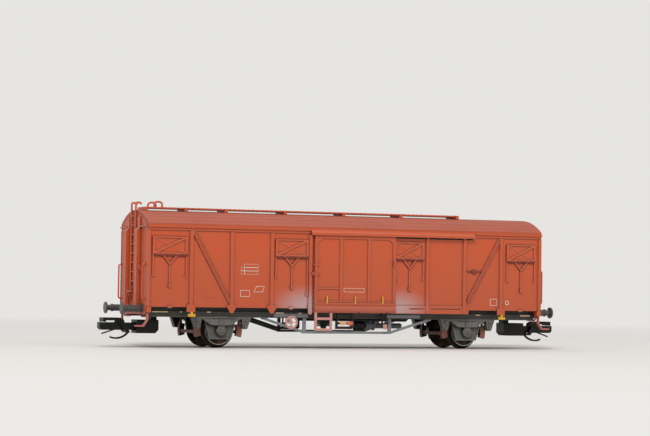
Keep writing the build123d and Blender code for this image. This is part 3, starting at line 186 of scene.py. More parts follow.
def road_dirt_and_inward_shade(tree, place, tone):
    """Rust and brake dust: brown blooms about 3 mm wide over a dark paint, and painted shade, near
    black, on faces that look inwards.
    """
    blooms = add_node(
        tree, "ShaderNodeTexNoise", {"Scale": 1 / (3 * mm), "Detail": 3}, {"Vector": place}
    )
    share = add_node(
        tree,
        "ShaderNodeMapRange",
        {"From Min": 0.5, "From Max": 0.72, "To Max": 0.5},
        {"Value": blooms},
    )
    dirty = add_node(
        tree, "ShaderNodeMix", {"data_type": "RGBA", 7: "#5d463a"}, {0: share, 6: tone}
    )
    return inward_face_shade(tree, place, dirty)


def side_foot_tones(tree, place, tone):
    """Body paint goes browner towards its foot and on the door's bulging sill, and pale pinkish
    patches lie on the wall beside the door's foot, about twice as wide as high. The far side is the
    near side turned round, so X is counted from each side's own left."""
    parts = add_node(tree, "ShaderNodeSeparateXYZ", links={"Vector": place}).outputs
    low = add_node(
        tree,
        "ShaderNodeMapRange",
        {"From Min": 25 * mm, "From Max": 12 * mm, "To Max": 0.7},
        {"Value": parts["Z"]},
    )
    tone = add_node(tree, "ShaderNodeMix", {"data_type": "RGBA", 7: "#b55130"}, {0: low, 6: tone})
    side = add_node(tree, "ShaderNodeMath", {"operation": "SIGN"}, {0: parts["Y"]})
    along = add_node(
        tree, "ShaderNodeMath", {"operation": "MULTIPLY"}, {0: parts["X"], 1: side}
    )
    squeeze = 0.55
    squeezed = add_node(
        tree, "ShaderNodeMath", {"operation": "MULTIPLY", 1: squeeze}, {0: along}
    )
    flat = add_node(tree, "ShaderNodeCombineXYZ", links={"X": squeezed, "Z": parts["Z"]})
    outward = add_node(tree, "ShaderNodeMath", {"operation": "ABSOLUTE"}, {0: parts["Y"]})
    behind_door = add_node(
        tree, "ShaderNodeMath", {"operation": "LESS_THAN", 1: 11.83 * mm}, {0: outward}
    )
    beyond = add_node(
        tree, "ShaderNodeMath", {"operation": "GREATER_THAN", 1: 12.11 * mm}, {0: outward}
    )
    below = add_node(
        tree,
        "ShaderNodeMapRange",
        {"From Min": 10.95 * mm, "From Max": 10.8 * mm, "To Max": 0.45},
        {"Value": parts["Z"]},
    )
    sill = add_node(tree, "ShaderNodeMath", {"operation": "MULTIPLY"}, {0: beyond, 1: below})
    tone = add_node(tree, "ShaderNodeMix", {"data_type": "RGBA", 7: "#a05f52"}, {0: sill, 6: tone})
    # patch: place along the side from its middle, height, reach upwards
    for across, height, reach in ((12.2, 10.9, 5.6), (-12.6, 10.5, 5.8)):
        away = add_node(
            tree,
            "ShaderNodeVectorMath",
            {"operation": "DISTANCE", 1: (across * squeeze * mm, 0, height * mm)},
            {0: flat},
        ).outputs["Value"]
        pale_patch = add_node(
            tree,
            "ShaderNodeMapRange",
            {
                "interpolation_type": "SMOOTHSTEP",
                "From Min": reach * mm,
                "From Max": 0,
                "To Max": 0.85,
            },
            {"Value": away},
        )
        share = add_node(
            tree, "ShaderNodeMath", {"operation": "MULTIPLY"}, {0: pale_patch, 1: behind_door}
        )
        tone = add_node(
            tree, "ShaderNodeMix", {"data_type": "RGBA", 7: "#b59ea0"}, {0: share, 6: tone}
        )
    return tone


# Black ABS left as moulded: deep and a little glossy, with grey painted highlights on its edges.
black_abs = moulded(
    "moulded_black_abs", "#0c0c0c", "#131313", "#2c2d2e", "#030303", 0.45, index=1.38
)
# Grey acrylic sprayed over ABS: matt, with brown dust lying on it and painted shade, near black, on
# its inward faces.
sill_paint = moulded(
    "sprayed_dark_grey_acrylic", "#3f4240", "#383936", "#6c6f69", "#060606", 0.6, tint=road_dirt_and_inward_shade
)
# Red-brown acrylic sprayed over ABS: an even satin, with painted shade in its corners and painted
# highlights on its edges.
body_paint = moulded(
    "sprayed_red_brown_acrylic",
    "#c55026",
    "#bf542c",
    "#dc937e",
    "#6e1c0a",
    0.42,
    shade_strength=0.8,
    tint=side_foot_tones,
)
# Cold-rolled steel sheet: a soft grey sheen.
rolled_steel = moulded("cold_rolled_steel", "#6e7276", "#63676b", "#8c9094", "#303234", 0.35)
dress(black_abs, "floor_plate")
dress(rolled_steel, "ballast_plate")
dress(sill_paint, "solebar_near", "solebar_far")
dress(body_paint, "headstock_left", "headstock_right")


# Data plates: small blank plates along each sill's upper edge, pad-printed in cream. Such ink
# is a thin satin film, a little uneven, so that the paint warms it from below.
cream_ink = moulded("pad_printed_cream_ink", "#d8c8a6", "#c9b48e", "#e8dcc4", "#8a7a60", 0.5)
sill_face = 9.6
plate_thick = 0.06


def add_box(shape, left, right, front, back, bottom, top):
    """A closed box in millimetres, given by its faces."""
    made = bmesh.ops.create_cube(shape, size=1)["verts"]
    size = (abs(right - left), abs(back - front), abs(top - bottom))
    bmesh.ops.scale(shape, vec=[s * mm for s in size], verts=made)
    middle = Vector((left + right, front + back, bottom + top)) / 2 * mm
    bmesh.ops.translate(shape, vec=middle, verts=made)


def add_boxes(shape, face, *boxes):
    """Boxes on an upright face of the near side. A box is given by its left, its right, how far
    its back and its front stand out from that face, its bottom and its top."""
    for left, right, back, front, bottom, top in boxes:
        add_box(shape, left, right, -face - front, -face - back, bottom, top)


def filled_mesh(name, build):
    """A mesh filled by build, with its faces outwards."""
    mesh = bpy.data.meshes.new(name)
    shape = bmesh.new()
    build(shape)
    bmesh.ops.recalc_face_normals(shape, faces=shape.faces)
    shape.to_mesh(mesh)
    shape.free()
    return mesh


def new_piece(name, build, material, body):
    """A piece whose mesh is filled by build."""
    mesh = filled_mesh(name, build)
    piece = bpy.data.objects.new(name, mesh)
    bpy.context.scene.collection.objects.link(piece)
    mesh.materials.append(material)
    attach(piece, body)
    return piece


def on_both_sides(name, build, material):
    """A piece built for the near side, and again turned half round the wagon for the far side."""

    def turned(shape):
        build(shape)
        half_turn = Matrix.Rotation(math.pi, 3, "Z")
        bmesh.ops.rotate(shape, cent=(0, 0, 0), matrix=half_turn, verts=shape.verts)

    new_piece(f"{name}_near", build, material, "wagon")
    new_piece(f"{name}_far", turned, material, "wagon")


def sill_plates(shape):
    # plate: left, right, bottom, top
    for left, right, bottom, top in (
        (-51.2, -47.3, 8.65, 8.93),
        (-44.15, -43.6, 8.65, 8.95),
        (-37.3, -36.25, 8.68, 8.95),
        (-19.3, -17.15, 8.62, 8.93),
        (-13.3, -12.45, 8.6, 8.93),
        (35.5, 36.8, 8.62, 8.93),
        (48.2, 51.05, 8.55, 8.93),
    ):
        add_boxes(shape, sill_face, (left, right, 0, plate_thick, bottom, top))


on_both_sides("sill_plates", sill_plates, cream_ink)


# Truss rods: flat bars under the sills, sprayed a bluer and paler grey than the frame, with a
# strap let into the sill's groove at each end.
# Its faces that look inwards get painted shade, near black.
truss_paint = moulded(
    "sprayed_blue_grey_acrylic",
    "#84888f",
    "#767a80",
    "#c0c3c8",
    "#2c2e31",
    0.45,
    shade_strength=0.5,
    tint=inward_face_shade,
)
dress(truss_paint, "truss_rod_near", "truss_rod_far")


def truss_straps(shape):
    groove_deep, strap_sunk = 0.25, 0.03
    low, high = 7.82, 8.6
    for left, right in ((-19.8, -10.7), (10.7, 19.8)):
        add_boxes(shape, sill_face, (left, right, -groove_deep, -strap_sunk, low, high))


on_both_sides("truss_straps", truss_straps, truss_paint)


# Wheelsets: wheels turned from metal and blackened, with a bright ring where the tread's outer
# edge was left bare, pressed on a plain steel axle with pointed ends.
def turned_metal(name, dark, second, centre, roughness, bright=None, ring_mm=0, face_mm=0):
    """Turned metal. Where bright is given, that colour shows from ring_mm outwards on the face
    that lies face_mm from the wagon's middle."""
    material, tree = new_material(name)
    place = add_node(tree, "ShaderNodeTexCoord").outputs["Object"]
    from_axle = add_node(
        tree, "ShaderNodeVectorMath", {"operation": "SUBTRACT", 1: centre}, {0: place}
    )
    stain = add_node(
        tree, "ShaderNodeTexNoise", {"Scale": 1 / (2.5 * mm), "Detail": 3}, {"Vector": place}
    )
    stained = add_node(
        tree, "ShaderNodeMapRange", {"From Min": 0.45, "From Max": 0.7}, {"Value": stain}
    )
    tone = add_node(
        tree, "ShaderNodeMix", {"data_type": "RGBA", 6: dark, 7: second}, {0: stained}
    )
    if bright:
        soft_mm, side_mm = 0.05, 0.12
        across = add_node(
            tree,
            "ShaderNodeVectorMath",
            {"operation": "MULTIPLY", 1: (1, 0, 1)},
            {0: from_axle},
        )
        radius = add_node(
            tree, "ShaderNodeVectorMath", {"operation": "LENGTH"}, {0: across}
        ).outputs["Value"]
        width = add_node(tree, "ShaderNodeSeparateXYZ", links={"Vector": from_axle}).outputs["Y"]
        beside = add_node(tree, "ShaderNodeMath", {"operation": "ABSOLUTE"}, {0: width})
        outer = add_node(
            tree,
            "ShaderNodeMapRange",
            {"From Min": (ring_mm - soft_mm) * mm, "From Max": (ring_mm + soft_mm) * mm},
            {"Value": radius},
        )
        on_face = add_node(
            tree,
            "ShaderNodeMapRange",
            {"From Min": (face_mm - side_mm) * mm, "From Max": face_mm * mm},
            {"Value": beside},
        )
        ring = add_node(tree, "ShaderNodeMath", {"operation": "MULTIPLY"}, {0: outer, 1: on_face})
        tone = add_node(
            tree, "ShaderNodeMix", {"data_type": "RGBA", 7: bright}, {0: ring, 6: tone}
        )
    # A wave texture of scale 1 repeats every 0.314, and a turning mark every mark_pitch.
    mark_pitch = 0.3 * mm
    turning = add_node(
        tree,
        "ShaderNodeTexWave",
        {
            "wave_type": "RINGS",
            "rings_direction": "Y",
            "Scale": 0.314 / mark_pitch,
            "Distortion": 0.4,
        },
        {"Vector": from_axle},
    )
    bump = add_node(
        tree,
        "ShaderNodeBump",
        {"Strength": 0.3, "Distance": 0.01 * mm},
        {"Height": turning},
    )
    shader = add_node(
        tree,
        "ShaderNodeBsdfPrincipled",
        {"Metallic": 0.9, "Roughness": roughness},
        {"Base Color": tone, "Normal": bump},
    )
    add_node(tree, "ShaderNodeOutputMaterial", links={"Surface": shader})
    return material


for end in ("left", "right"):
    low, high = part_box(f"wheels_{end}")
    centre = (low + high) / 2
    # Blackened brass: almost black and half matt, browner where it is handled, with turning
    # marks drawn 0.3 mm apart, coarser than real, so that they catch the light.
    wheel_metal = turned_metal(
        f"turned_blackened_brass_{end}",
        "#2a221d",
        "#5a4435",
        centre,
        0.45,
        bright="#a3a4a2",
        ring_mm=3.4,
        face_mm=high.y / mm,
    )
    # Bright drawn steel: a narrow clear sheen.
    axle_metal = turned_metal(f"drawn_bright_steel_{end}", "#77797c", "#6a6c6e", centre, 0.3)
    dress(wheel_metal, f"wheels_{end}")
    dress(axle_metal, f"axle_{end}")


# Axle guards: plate, stepped leaf spring, shackles and axle box moulded in one for each wheel,
# sprayed a greenish grey. The box's round cover is held by four bolts.
# A strong painted shade fills the guards' corners over a wide reach, so that the spring's leaves
# show, with pale painted highlights on their edges; brown road dirt lies on them, and their inward
# faces get painted shade, near black.
guard_paint = moulded(
    "sprayed_green_grey_acrylic",
    "#626461",
    "#505250",
    "#a3a6a2",
    "#050505",
    0.5,
    shade_strength=0.95,
    shade_reach_mm=1.1,
    tint=road_dirt_and_inward_shade,
)
for end in ("left", "right"):
    dress(guard_paint, f"axle_guard_{end}_near", f"axle_guard_{end}_far")


def repeat_tree():
    """Geometry nodes that set copies of a pattern piece along lines, a pitch apart."""
    tree = bpy.data.node_groups.new("set_along_lines", "GeometryNodeTree")
    sockets = tree.interface
    for name, kind in (
        ("Geometry", "Geometry"),
        ("Pattern", "Object"),
        ("Pitch", "Float"),
        ("Outward", "Vector"),
        ("Finish", "Material"),
    ):
        sockets.new_socket(name, in_out="INPUT", socket_type=f"NodeSocket{kind}")
    sockets.new_socket("Geometry", in_out="OUTPUT", socket_type="NodeSocketGeometry")
    given = add_node(tree, "NodeGroupInput").outputs
    lines = add_node(tree, "GeometryNodeMeshToCurve", links={"Mesh": given["Geometry"]})
    points = add_node(
        tree,
        "GeometryNodeCurveToPoints",
        {"mode": "LENGTH"},
        {"Curve": lines, "Length": given["Pitch"]},
    )
    pattern = add_node(tree, "GeometryNodeObjectInfo", links={"Object": given["Pattern"]})
    facing = add_node(
        tree,
        "FunctionNodeAlignRotationToVector",
        {"axis": "Z"},
        {"Vector": given["Outward"]},
    )
    copies = add_node(
        tree,
        "GeometryNodeInstanceOnPoints",
        links={
            "Points": points,
            "Instance": pattern.outputs["Geometry"],
            "Rotation": facing,
        },
    )
    real = add_node(tree, "GeometryNodeRealizeInstances", links={"Geometry": copies})
    finished = add_node(
        tree,
        "GeometryNodeSetMaterial",
        links={"Geometry": real, "Material": given["Finish"]},
    )
    add_node(tree, "NodeGroupOutput", links={"Geometry": finished})
    return tree


along_lines = repeat_tree()


def set_along(name, lines, pattern, pitch, outward, material, body):
    """A piece made of copies of a pattern mesh along straight lines, all in millimetres."""
    mesh = bpy.data.meshes.new(name)
    ends = [Vector(point) * mm for line in lines for point in line]
    mesh.from_pydata(ends, [(i, i + 1) for i in range(0, len(ends), 2)], [])
    guide = bpy.data.objects.new(name + "_guide", mesh)
    model = bpy.data.objects.new(name + "_pattern", pattern)
    for helper in (guide, model):
        bpy.context.scene.collection.objects.link(helper)
    modifier = guide.modifiers.new("repeat", "NODES")
    modifier.node_group = along_lines
    given = {"Pattern": model, "Pitch": pitch * mm, "Outward": outward, "Finish": material}
    for socket in along_lines.interface.items_tree:
        if socket.in_out == "INPUT" and socket.name in given:
            modifier[socket.identifier] = given[socket.name]
    guide.update_tag()
    evaluated = guide.evaluated_get(bpy.context.evaluated_depsgraph_get())
    result = bpy.data.meshes.new_from_object(evaluated)
    result.name = name
    piece = bpy.data.objects.new(name, result)
    bpy.context.scene.collection.objects.link(piece)
    for helper in (guide, model):
        bpy.data.objects.remove(helper)
    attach(piece, body)
    return piece


def bolt_head(radius, height):
    """The mesh of a low domed head that stands on the plane z = 0, in millimetres."""
    mesh = bpy.data.meshes.new("bolt_head")
    shape = bmesh.new()
    bmesh.ops.create_uvsphere(shape, u_segments=10, v_segments=6, radius=radius * mm)
    bmesh.ops.scale(shape, vec=(1, 1, height / radius), verts=shape.verts)
    shape.to_mesh(mesh)
    shape.free()
    return mesh


axle_x = 33.335
axle_z = 4.35
cover_face = 9.85
bolt_ring = 0.34
cover_bolt = bolt_head(0.15, 0.16)
# A pitch just under a line's length leaves a bolt at each of its ends.
nearly = 0.999
for side, way in (("near", -1), ("far", 1)):
    rows = [
        ((x - bolt_ring, way * cover_face, z), (x + bolt_ring, way * cover_face, z))
        for x in (-axle_x, axle_x)
        for z in (axle_z - bolt_ring, axle_z + bolt_ring)
    ]
    set_along(
        f"cover_bolts_{side}",
        rows,
        cover_bolt,
        2 * bolt_ring * nearly,
        (0, way, 0),
        guard_paint,
        "wagon",
    )


# Brake gear: pinkish brown shoes on dark beams, the tank and valve left black, the cylinder in
# blue-grey with a ribbed spring case, and on each side a pale hand wheel, levers and a step.
# Brake paint: faces that look inwards get painted shade, near black, and a strong painted shade
# fills its corners.
brake_paint = moulded(
    "sprayed_brake_brown_acrylic",
    "#9a6054",
    "#7d4d42",
    "#c09488",
    "#1c0f0d",
    0.6,
    shade_strength=0.8,
    tint=inward_face_shade,
)
cylinder_paint = moulded(
    "sprayed_slate_acrylic", "#7b828b", "#6c727a", "#a9afb7", "#121314", 0.4
)
# Pale red ABS without paint: light passes a little way in, so its painted shade in the corners is a
# warm dark red.
pale_abs = moulded("moulded_pale_red_abs", "#c9928a", "#c0857c", "#e2bdb6", "#6a3430", 0.4)
dress(brake_paint, "brake_rigging_left", "brake_rigging_right")
dress(cylinder_paint, "brake_cylinder")
dress(black_abs, "air_tank", "brake_valve", "brake_levers_near", "brake_levers_far")
dress(pale_abs, "hand_brake_wheel_near", "hand_brake_wheel_far", "door_step_near", "door_step_far")

cylinder_y = -4.0
cylinder_z = 5.75
rib_pitch = 0.45


def add_loft(shape, rings, closed=False):
    """Faces that join rings of points, given in millimetres, one after the other. Both ends are
    covered, or else the last ring joins the first."""
    made = [[shape.verts.new([c * mm for c in point]) for point in ring] for ring in rings]
    pairs = list(zip(made, made[1:]))
    if closed:
        pairs.append((made[-1], made[0]))
    else:
        shape.faces.new(made[0])
        shape.faces.new(made[-1])
    for here, after in pairs:
        for i in range(len(here)):
            j = (i + 1) % len(here)
            shape.faces.new((here[i], here[j], after[j], after[i]))


def case_rib(shape):
    """One ring of the ribbed spring case, around the Z axis."""
    inner, outer, half = 0.45, 0.72, 0.12
    section = ((inner, -half), (outer, -half / 2), (outer, half / 2), (inner, half))
    steps = 20
    turns = [step / steps * 2 * math.pi for step in range(steps)]
    rings = [[(r * math.cos(turn), r * math.sin(turn), z) for r, z in section] for turn in turns]
    add_loft(shape, rings, closed=True)


set_along(
    "spring_case_ribs",
    [
        ((start, cylinder_y, cylinder_z), (end, cylinder_y, cylinder_z))
        for start, end in ((9.7, 11.5), (13.8, 16.6))
    ],
    filled_mesh("case_rib", case_rib),
    rib_pitch,
    (1, 0, 0),
    cylinder_paint,
    "wagon",
)


floor_under = 10.0
floor_hold = 0.15


def main_pipe(shape):
    """The pipe along the floor that feeds the tank, turned up into the floor at both ends."""
    pipe_y, pipe_radius, sides = -6.0, 0.35, 10
    low, top = 7.2, floor_under + floor_hold
    line = ((-13.0, top), (-13.0, 7.7), (-12.5, low), (17.5, low), (18.0, 7.7), (18.0, top))
    rings = []
    for place, (x, z) in enumerate(line):
        before = Vector(line[max(place - 1, 0)])
        after = Vector(line[min(place + 1, len(line) - 1)])
        way = (after - before).normalized()
        across = Vector((way.y, -way.x))
        ring = []
        for side in range(sides):
            angle = side / sides * 2 * math.pi
            out = across * math.cos(angle) * pipe_radius
            ring.append((x + out.x, pipe_y + math.sin(angle) * pipe_radius, z + out.y))
        rings.append(ring)
    add_loft(shape, rings)


new_piece("main_pipe", main_pipe, black_abs, "wagon")


def add_bar(shape, start, end, edges, face, back):
    """A straight flat bar between two points given along and up the side, in millimetres. Its
    edges lie that far across the line between them."""
    start, end = Vector(start), Vector(end)
    way = (end - start).normalized()
    across = Vector((-way.y, way.x))
    corners = [start + across * edges[0], start + across * edges[1]]
    corners += [end + across * edges[1], end + across * edges[0]]
    add_loft(shape, [[(x, y, z) for x, z in corners] for y in (back, face)])


def pull_rod(shape):
    """The flat rod that runs down from the left wheels' brakes to the middle, and hangs from
    the floor at both ends."""
    rod_y, half_thick, half_high = 2.0, 0.3, 0.35
    top = floor_under + floor_hold
    line = ((-23.6, top), (-23.6, 7.75), (-14.6, 4.9), (-9.0, 4.9), (-9.0, top))
    for start, end in zip(line, line[1:]):
        add_bar(shape, start, end, (-half_high, half_high), rod_y - half_thick, rod_y + half_thick)


new_piece("pull_rod", pull_rod, black_abs, "wagon")

# The change-over levers' plates carry painted fields: straw and light red on one, pale red on
# the other. Enamel is a thicker, glossier film than the sprayed paint.
straw_enamel = moulded("brushed_straw_enamel", "#dcb082", "#d2a070", "#ecd0b0", "#6a4a2c", 0.35)
red_enamel = moulded("brushed_light_red_enamel", "#d4725e", "#c86450", "#e6a494", "#5a1814", 0.35)
lever_face = 10.5
enamel = 0.08


def straw_field(shape):
    add_boxes(shape, lever_face, (-2.55, -0.85, 0, enamel, 5.92, 6.88))


def red_field(shape):
    add_boxes(shape, lever_face, (-0.63, 1.0, 0, enamel, 5.92, 6.88))


def pale_fields(shape):
    add_boxes(shape, lever_face, (9.25, 10.3, 0, enamel, 4.95, 6.2))


on_both_sides("lever_field_straw", straw_field, straw_enamel)
on_both_sides("lever_field_red", red_field, red_enamel)
on_both_sides("load_plate_field", pale_fields, pale_abs)


# Side and end walls: pressed sheets with posts on the real wagon, moulded in one and sprayed
# red-brown here. Two diagonal braces a side are channels, with a thin flange along each edge.
dress(body_paint, "side_wall_near", "side_wall_far", "end_wall_left", "end_wall_right")
brace_face = 11.6


def brace_flanges(shape):
    flange_thick, flange_proud = 0.12, 0.13
    # brace: head, foot
    for head, foot in (((-41.5, 28.5), (-31.8, 11.1)), ((41.45, 28.5), (32.3, 12.1))):
        for edge in (-0.4, 0.28):
            edges = (edge, edge + flange_thick)
            add_bar(shape, head, foot, edges, -brace_face - flange_proud, -brace_face)


on_both_sides("brace_flanges", brace_flanges, body_paint)

# Empty frames are printed on wall and door: thin lines in white pad-printed ink round bare
# paint, a film so thin that its edges hardly show.
white_ink = moulded("pad_printed_white_ink", "#f2ddd2", "#e8cbbc", "#f6e8e0", "#c08a78", 0.5)
wall_face = 11.35
door_panel = 11.85


def ink_lines(shape, face, line, cells):
    """Thin printed lines around each cell, given by its corners along and up the side."""
    proud, thick = 0.02, 0.03
    start = len(shape.faces)
    for cell in cells:
        corners = [(x * mm, -(face + proud) * mm, z * mm) for x, z in cell]
        shape.faces.new([shape.verts.new(corner) for corner in corners])
    shape.normal_update()
    whole = list(shape.faces)[start:]
    lines = bmesh.ops.inset_individual(shape, faces=whole, thickness=line * mm)["faces"]
    kept = set(lines)
    drop = [f for f in list(shape.faces)[start:] if f not in kept]
    bmesh.ops.delete(shape, geom=drop, context="FACES")
    shape.normal_update()
    bmesh.ops.solidify(shape, geom=lines, thickness=thick * mm)


def patch(left, right, bottom, top):
    """A cell's corners, along and up the side."""
    return ((left, bottom), (right, bottom), (right, top), (left, top))


def wall_labels(shape):
    table_line, box_line = 0.1, 0.16
    row_high, square_high = 0.85, 0.9
    table = [patch(-28.3, -24.7, z, z + row_high) for z in (18.2, 19.05, 19.9)]
    table += [patch(-29.2, -28.3, z, z + square_high) for z in (18.2, 19.1)]
    ring_x, ring_z, half_wide, half_high = 43.56, 12.04, 0.56, 0.58
    turns = [i / 8 * math.pi for i in range(16)]
    ring = [
        (ring_x + half_wide * math.cos(turn), ring_z + half_high * math.sin(turn)) for turn in turns
    ]
    slanted = ((-25.83, 13.85), (-23.45, 13.89), (-23.01, 15.36), (-25.12, 15.33))
    boxes = [patch(-29.3, -26.8, 12.7, 14.3), patch(38.7, 40.7, 11.25, 13.0), slanted, ring]
    ink_lines(shape, wall_face, table_line, table)
    ink_lines(shape, wall_face, box_line, boxes)


def door_label(shape):
    line = 0.14
    ink_lines(shape, door_panel, line, [patch(-2.13, 3.47, 14.2, 15.2)])


on_both_sides("wall_labels", wall_labels, white_ink)
on_both_sides("door_label", door_label, white_ink)


# A bare plate near the wall's foot: thin sheet on the real wagon, here moulded with the wall
# and sprayed with it.
def blank_plate(shape):
    add_boxes(shape, wall_face, (-38.8, -35.8, 0, plate_thick, 12.55, 14.2))


on_both_sides("blank_plate", blank_plate, body_paint)

# The catch that holds the open door back: a thin rod in two eyes with a block and a thumb piece,
# moulded on the wall and sprayed a darker red.
catch_paint = moulded(
    "sprayed_dark_red_acrylic", "#8e3c28", "#7f3422", "#a85a46", "#3a0e06", 0.45
)


def door_catch(shape):
    rod = (32.0, 36.3, 0.1, 0.25, 19.8, 19.97)
    eyes = [(left, left + 0.3, 0, 0.28, 19.74, 20.03) for left in (32.1, 35.9)]
    block = (33.3, 34.7, 0, 0.4, 19.6, 20.15)
    thumb_piece = (33.7, 34.3, 0, 0.5, 19.45, 20.3)
    add_boxes(shape, wall_face, rod, *eyes, block, thumb_piece)


on_both_sides("door_catch", door_catch, catch_paint)

# One large bolt holds the right end post's foot, a domed head moulded with the wall. Its line
# is shorter than its pitch, so that only one bolt stands on it.
post_bolt = bolt_head(0.3, 0.16)
line_long, bolt_pitch = 0.5, 0.6
post_x, post_face, post_bolt_z = 41.95, 11.75, 11.8
for side, way in (("near", -1), ("far", 1)):
    start = Vector((-way * post_x, way * post_face, post_bolt_z))
    set_along(
        f"post_bolt_{side}",
        [(start, start + Vector((line_long, 0, 0)))],
        post_bolt,
        bolt_pitch,
        (0, way, 0),
        body_paint,
        "wagon",
    )


# Doors, rails and ventilators: separate mouldings in the same paint. The door has a locking
# bar with its handle at the left and a grab bar at the right.
dress(body_paint, "door_near", "door_far", "door_rails_near", "door_rails_far")
dress(body_paint, "ventilators_near", "ventilators_far")
door_frame = 12.05


def door_handles(shape):
    left, right = 11.25, 11.5
    grab_bar = (left, right, 0.2, 0.45, 20.65, 22.23)
    bar_feet = [(left, right, 0, 0.3, foot, foot + 0.25) for foot in (20.65, 21.98)]
    lock_block = (-10.75, -10.3, 0, 0.4, 18.45, 18.95)
    lock_handle = (-10.4, -9.7, 0, 0.2, 20.7, 20.95)
    add_boxes(shape, door_frame, grab_bar, *bar_feet, lock_block, lock_handle)


on_both_sides("door_handles", door_handles, body_paint)

# A black strip lies deep in the slot under the hood, where the open door's rollers run: painted
# shade that makes the slot dark.
# It is dull and even, with a faint grey bloom.
slot_black = moulded("painted_slot_shade", "#0c0b0b", "#131111", "#1c1a1a", "#030303", 0.7)


def slot_seal(shape):
    deep, sunk = 0.34, 0.05
    add_boxes(shape, wall_face, (12.0, 33.6, -deep, -sunk, 27.97, 28.32))


on_both_sides("slot_seal", slot_seal, slot_black)


# Painted shade: dark red strips under the ventilators' bars and along the door's foot stand in for
# the shade there.
# They are flat and without any shine.
painted_shade_red = moulded("painted_shade_dark_red", "#7e2e1a", "#722614", "#8a3824", "#3a0e06", 0.7)


def lined_bars(shape):
    flaps = ((-51.5, -43.2), (-19.9, -11.8), (12.3, 19.6), (43.4, 51.1))
    add_boxes(shape, wall_face, *((left, right, 0, 0.46, 22.38, 22.66) for left, right in flaps))
    left, right = -9.9, 11.8
    above_sill = (left, right, 0, 0.24, 11.51, 11.66)
    on_sill = (left, right, 0.21, 0.28, 10.82, 10.92)
    add_boxes(shape, door_panel, above_sill, on_sill)


on_both_sides("lined_bars", lined_bars, painted_shade_red)


# A folded sheet slopes from the eave down to the hood's face, and sheds the rain over the door's
# rail. It is moulded with the rail and sprayed with it.
def hood_cover(shape):
    back, front = -11.68, -12.5
    low, high = 29.0, 29.75
    section = ((back, high), (front, low), (back, low))
    left, right = -10.95, 33.65
    add_loft(shape, [[(x, y, z) for y, z in section] for x in (left, right)])


on_both_sides("hood_cover", hood_cover, body_paint)

# Yellow marks across the door's foot show where its rollers stand. Enamel put on with a
# brush is thick and glossy.
mark_yellow = moulded("brushed_yellow_enamel", "#e6ae30", "#dca428", "#efc658", "#7a5410", 0.35)


def roller_marks(shape):
    half_wide, proud = 0.15, 0.11
    for middle in (-6.65, 0.95, 8.4):
        mark = (middle - half_wide, middle + half_wide, 0, proud, 11.3, 13.25)
        add_boxes(shape, door_frame, mark)


on_both_sides("roller_marks", roller_marks, mark_yellow)


# Roof: one arched shell, sprayed duller than the sides above its upright edges, with faint
# lengthwise seams where the real wagon's sheets are folded together.
def roof_coat(tree, place, tone):
    """The upright edges under the arch keep the sides' colour."""
    height = add_node(tree, "ShaderNodeSeparateXYZ", links={"Vector": place}).outputs["Z"]
    under = add_node(
        tree,
        "ShaderNodeMapRange",
        {"From Min": 30.05 * mm, "From Max": 29.95 * mm},
        {"Value": height},
    )
    return add_node(
        tree, "ShaderNodeMix", {"data_type": "RGBA", 7: "#c24e20"}, {0: under, 6: tone}
    )


# Matt acrylic sprayed over ABS: chalky and soft, with hardly any gloss.
roof_paint = moulded(
    "sprayed_matt_roof_acrylic",
    "#ad5239",
    "#a64e36",
    "#c0755e",
    "#7e3c2c",
    0.6,
    shade_strength=0.35,
    tint=roof_coat,
)
dress(roof_paint, "roof")
arch_radius = 22.107
arch_centre_z = 11.593


def roof_seams(shape):
    seam_end, seam_half, seam_sunk, seam_high, pitch_degrees = 52.6, 0.09, 0.1, 0.035, 5.6
    for step in range(-5, 6):
        if step == 0:
            continue
        fresh = bmesh.new()
        low, high = arch_radius - seam_sunk, arch_radius + seam_high
        add_box(fresh, -seam_end, seam_end, -seam_half, seam_half, low, high)
        turn = Matrix.Rotation(math.radians(step * pitch_degrees), 3, "X")
        bmesh.ops.rotate(fresh, cent=(0, 0, 0), matrix=turn, verts=fresh.verts)
        bmesh.ops.translate(fresh, vec=(0, 0, arch_centre_z * mm), verts=fresh.verts)
        seam = bpy.data.meshes.new("seam")
        fresh.to_mesh(seam)
        fresh.free()
        shape.from_mesh(seam)
        bpy.data.meshes.remove(seam)


new_piece("roof_seams", roof_seams, roof_paint, "wagon")


# Roof walkway and grab hoops: planks on chairs, moulded with raised treads so that nobody slips,
# and a bent rod at each side of the ladder's end. They are thin, so they get a lighter painted
# shade in their corners and hardly any painted edge highlight, and the same acrylic is drawn
# cleaner and brighter.
thin_paint = moulded(
    "sprayed_red_brown_acrylic_thin", "#cc542e", "#c25430", "#d46a48", "#8a3018", 0.42
)
dress(thin_paint, "roof_walkway", "roof_grab_hoops")
low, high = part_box("roof_walkway")
tread_z = high.z / mm
tread_pitch, tread_inset = 1.2, 0.6


def tread(shape):
    half_wide, half_long, sunk, proud, chamfer = 0.12, 2.7, 0.03, 0.06, 0.02
    add_box(shape, -half_wide, half_wide, -half_long, half_long, -sunk, proud)
    edges = list(shape.edges)
    bmesh.ops.bevel(shape, geom=edges, offset=chamfer * mm, segments=1, affect="EDGES")


set_along(
    "walkway_treads",
    [((low.x / mm + tread_inset, 0, tread_z), (high.x / mm - tread_inset, 0, tread_z))],
    filled_mesh("tread", tread),
    tread_pitch,
    (0, 0, 1),
    thin_paint,
    "wagon",
)


# Ladder, handrails, steps and hooks at the ends and corners: thin mouldings pushed into holes.
# Ladder and handrails are sprayed, the steps are left as moulded, and the hooks are enamelled.
step_red = moulded("moulded_dull_red_abs", "#b9645a", "#ad5a50", "#d8968c", "#4a1a16", 0.4)
dress(thin_paint, "end_ladder", "corner_handrails")
dress(step_red, "corner_steps", "shunter_handles")
dress(mark_yellow, "lashing_hooks")
half_length = 53.15


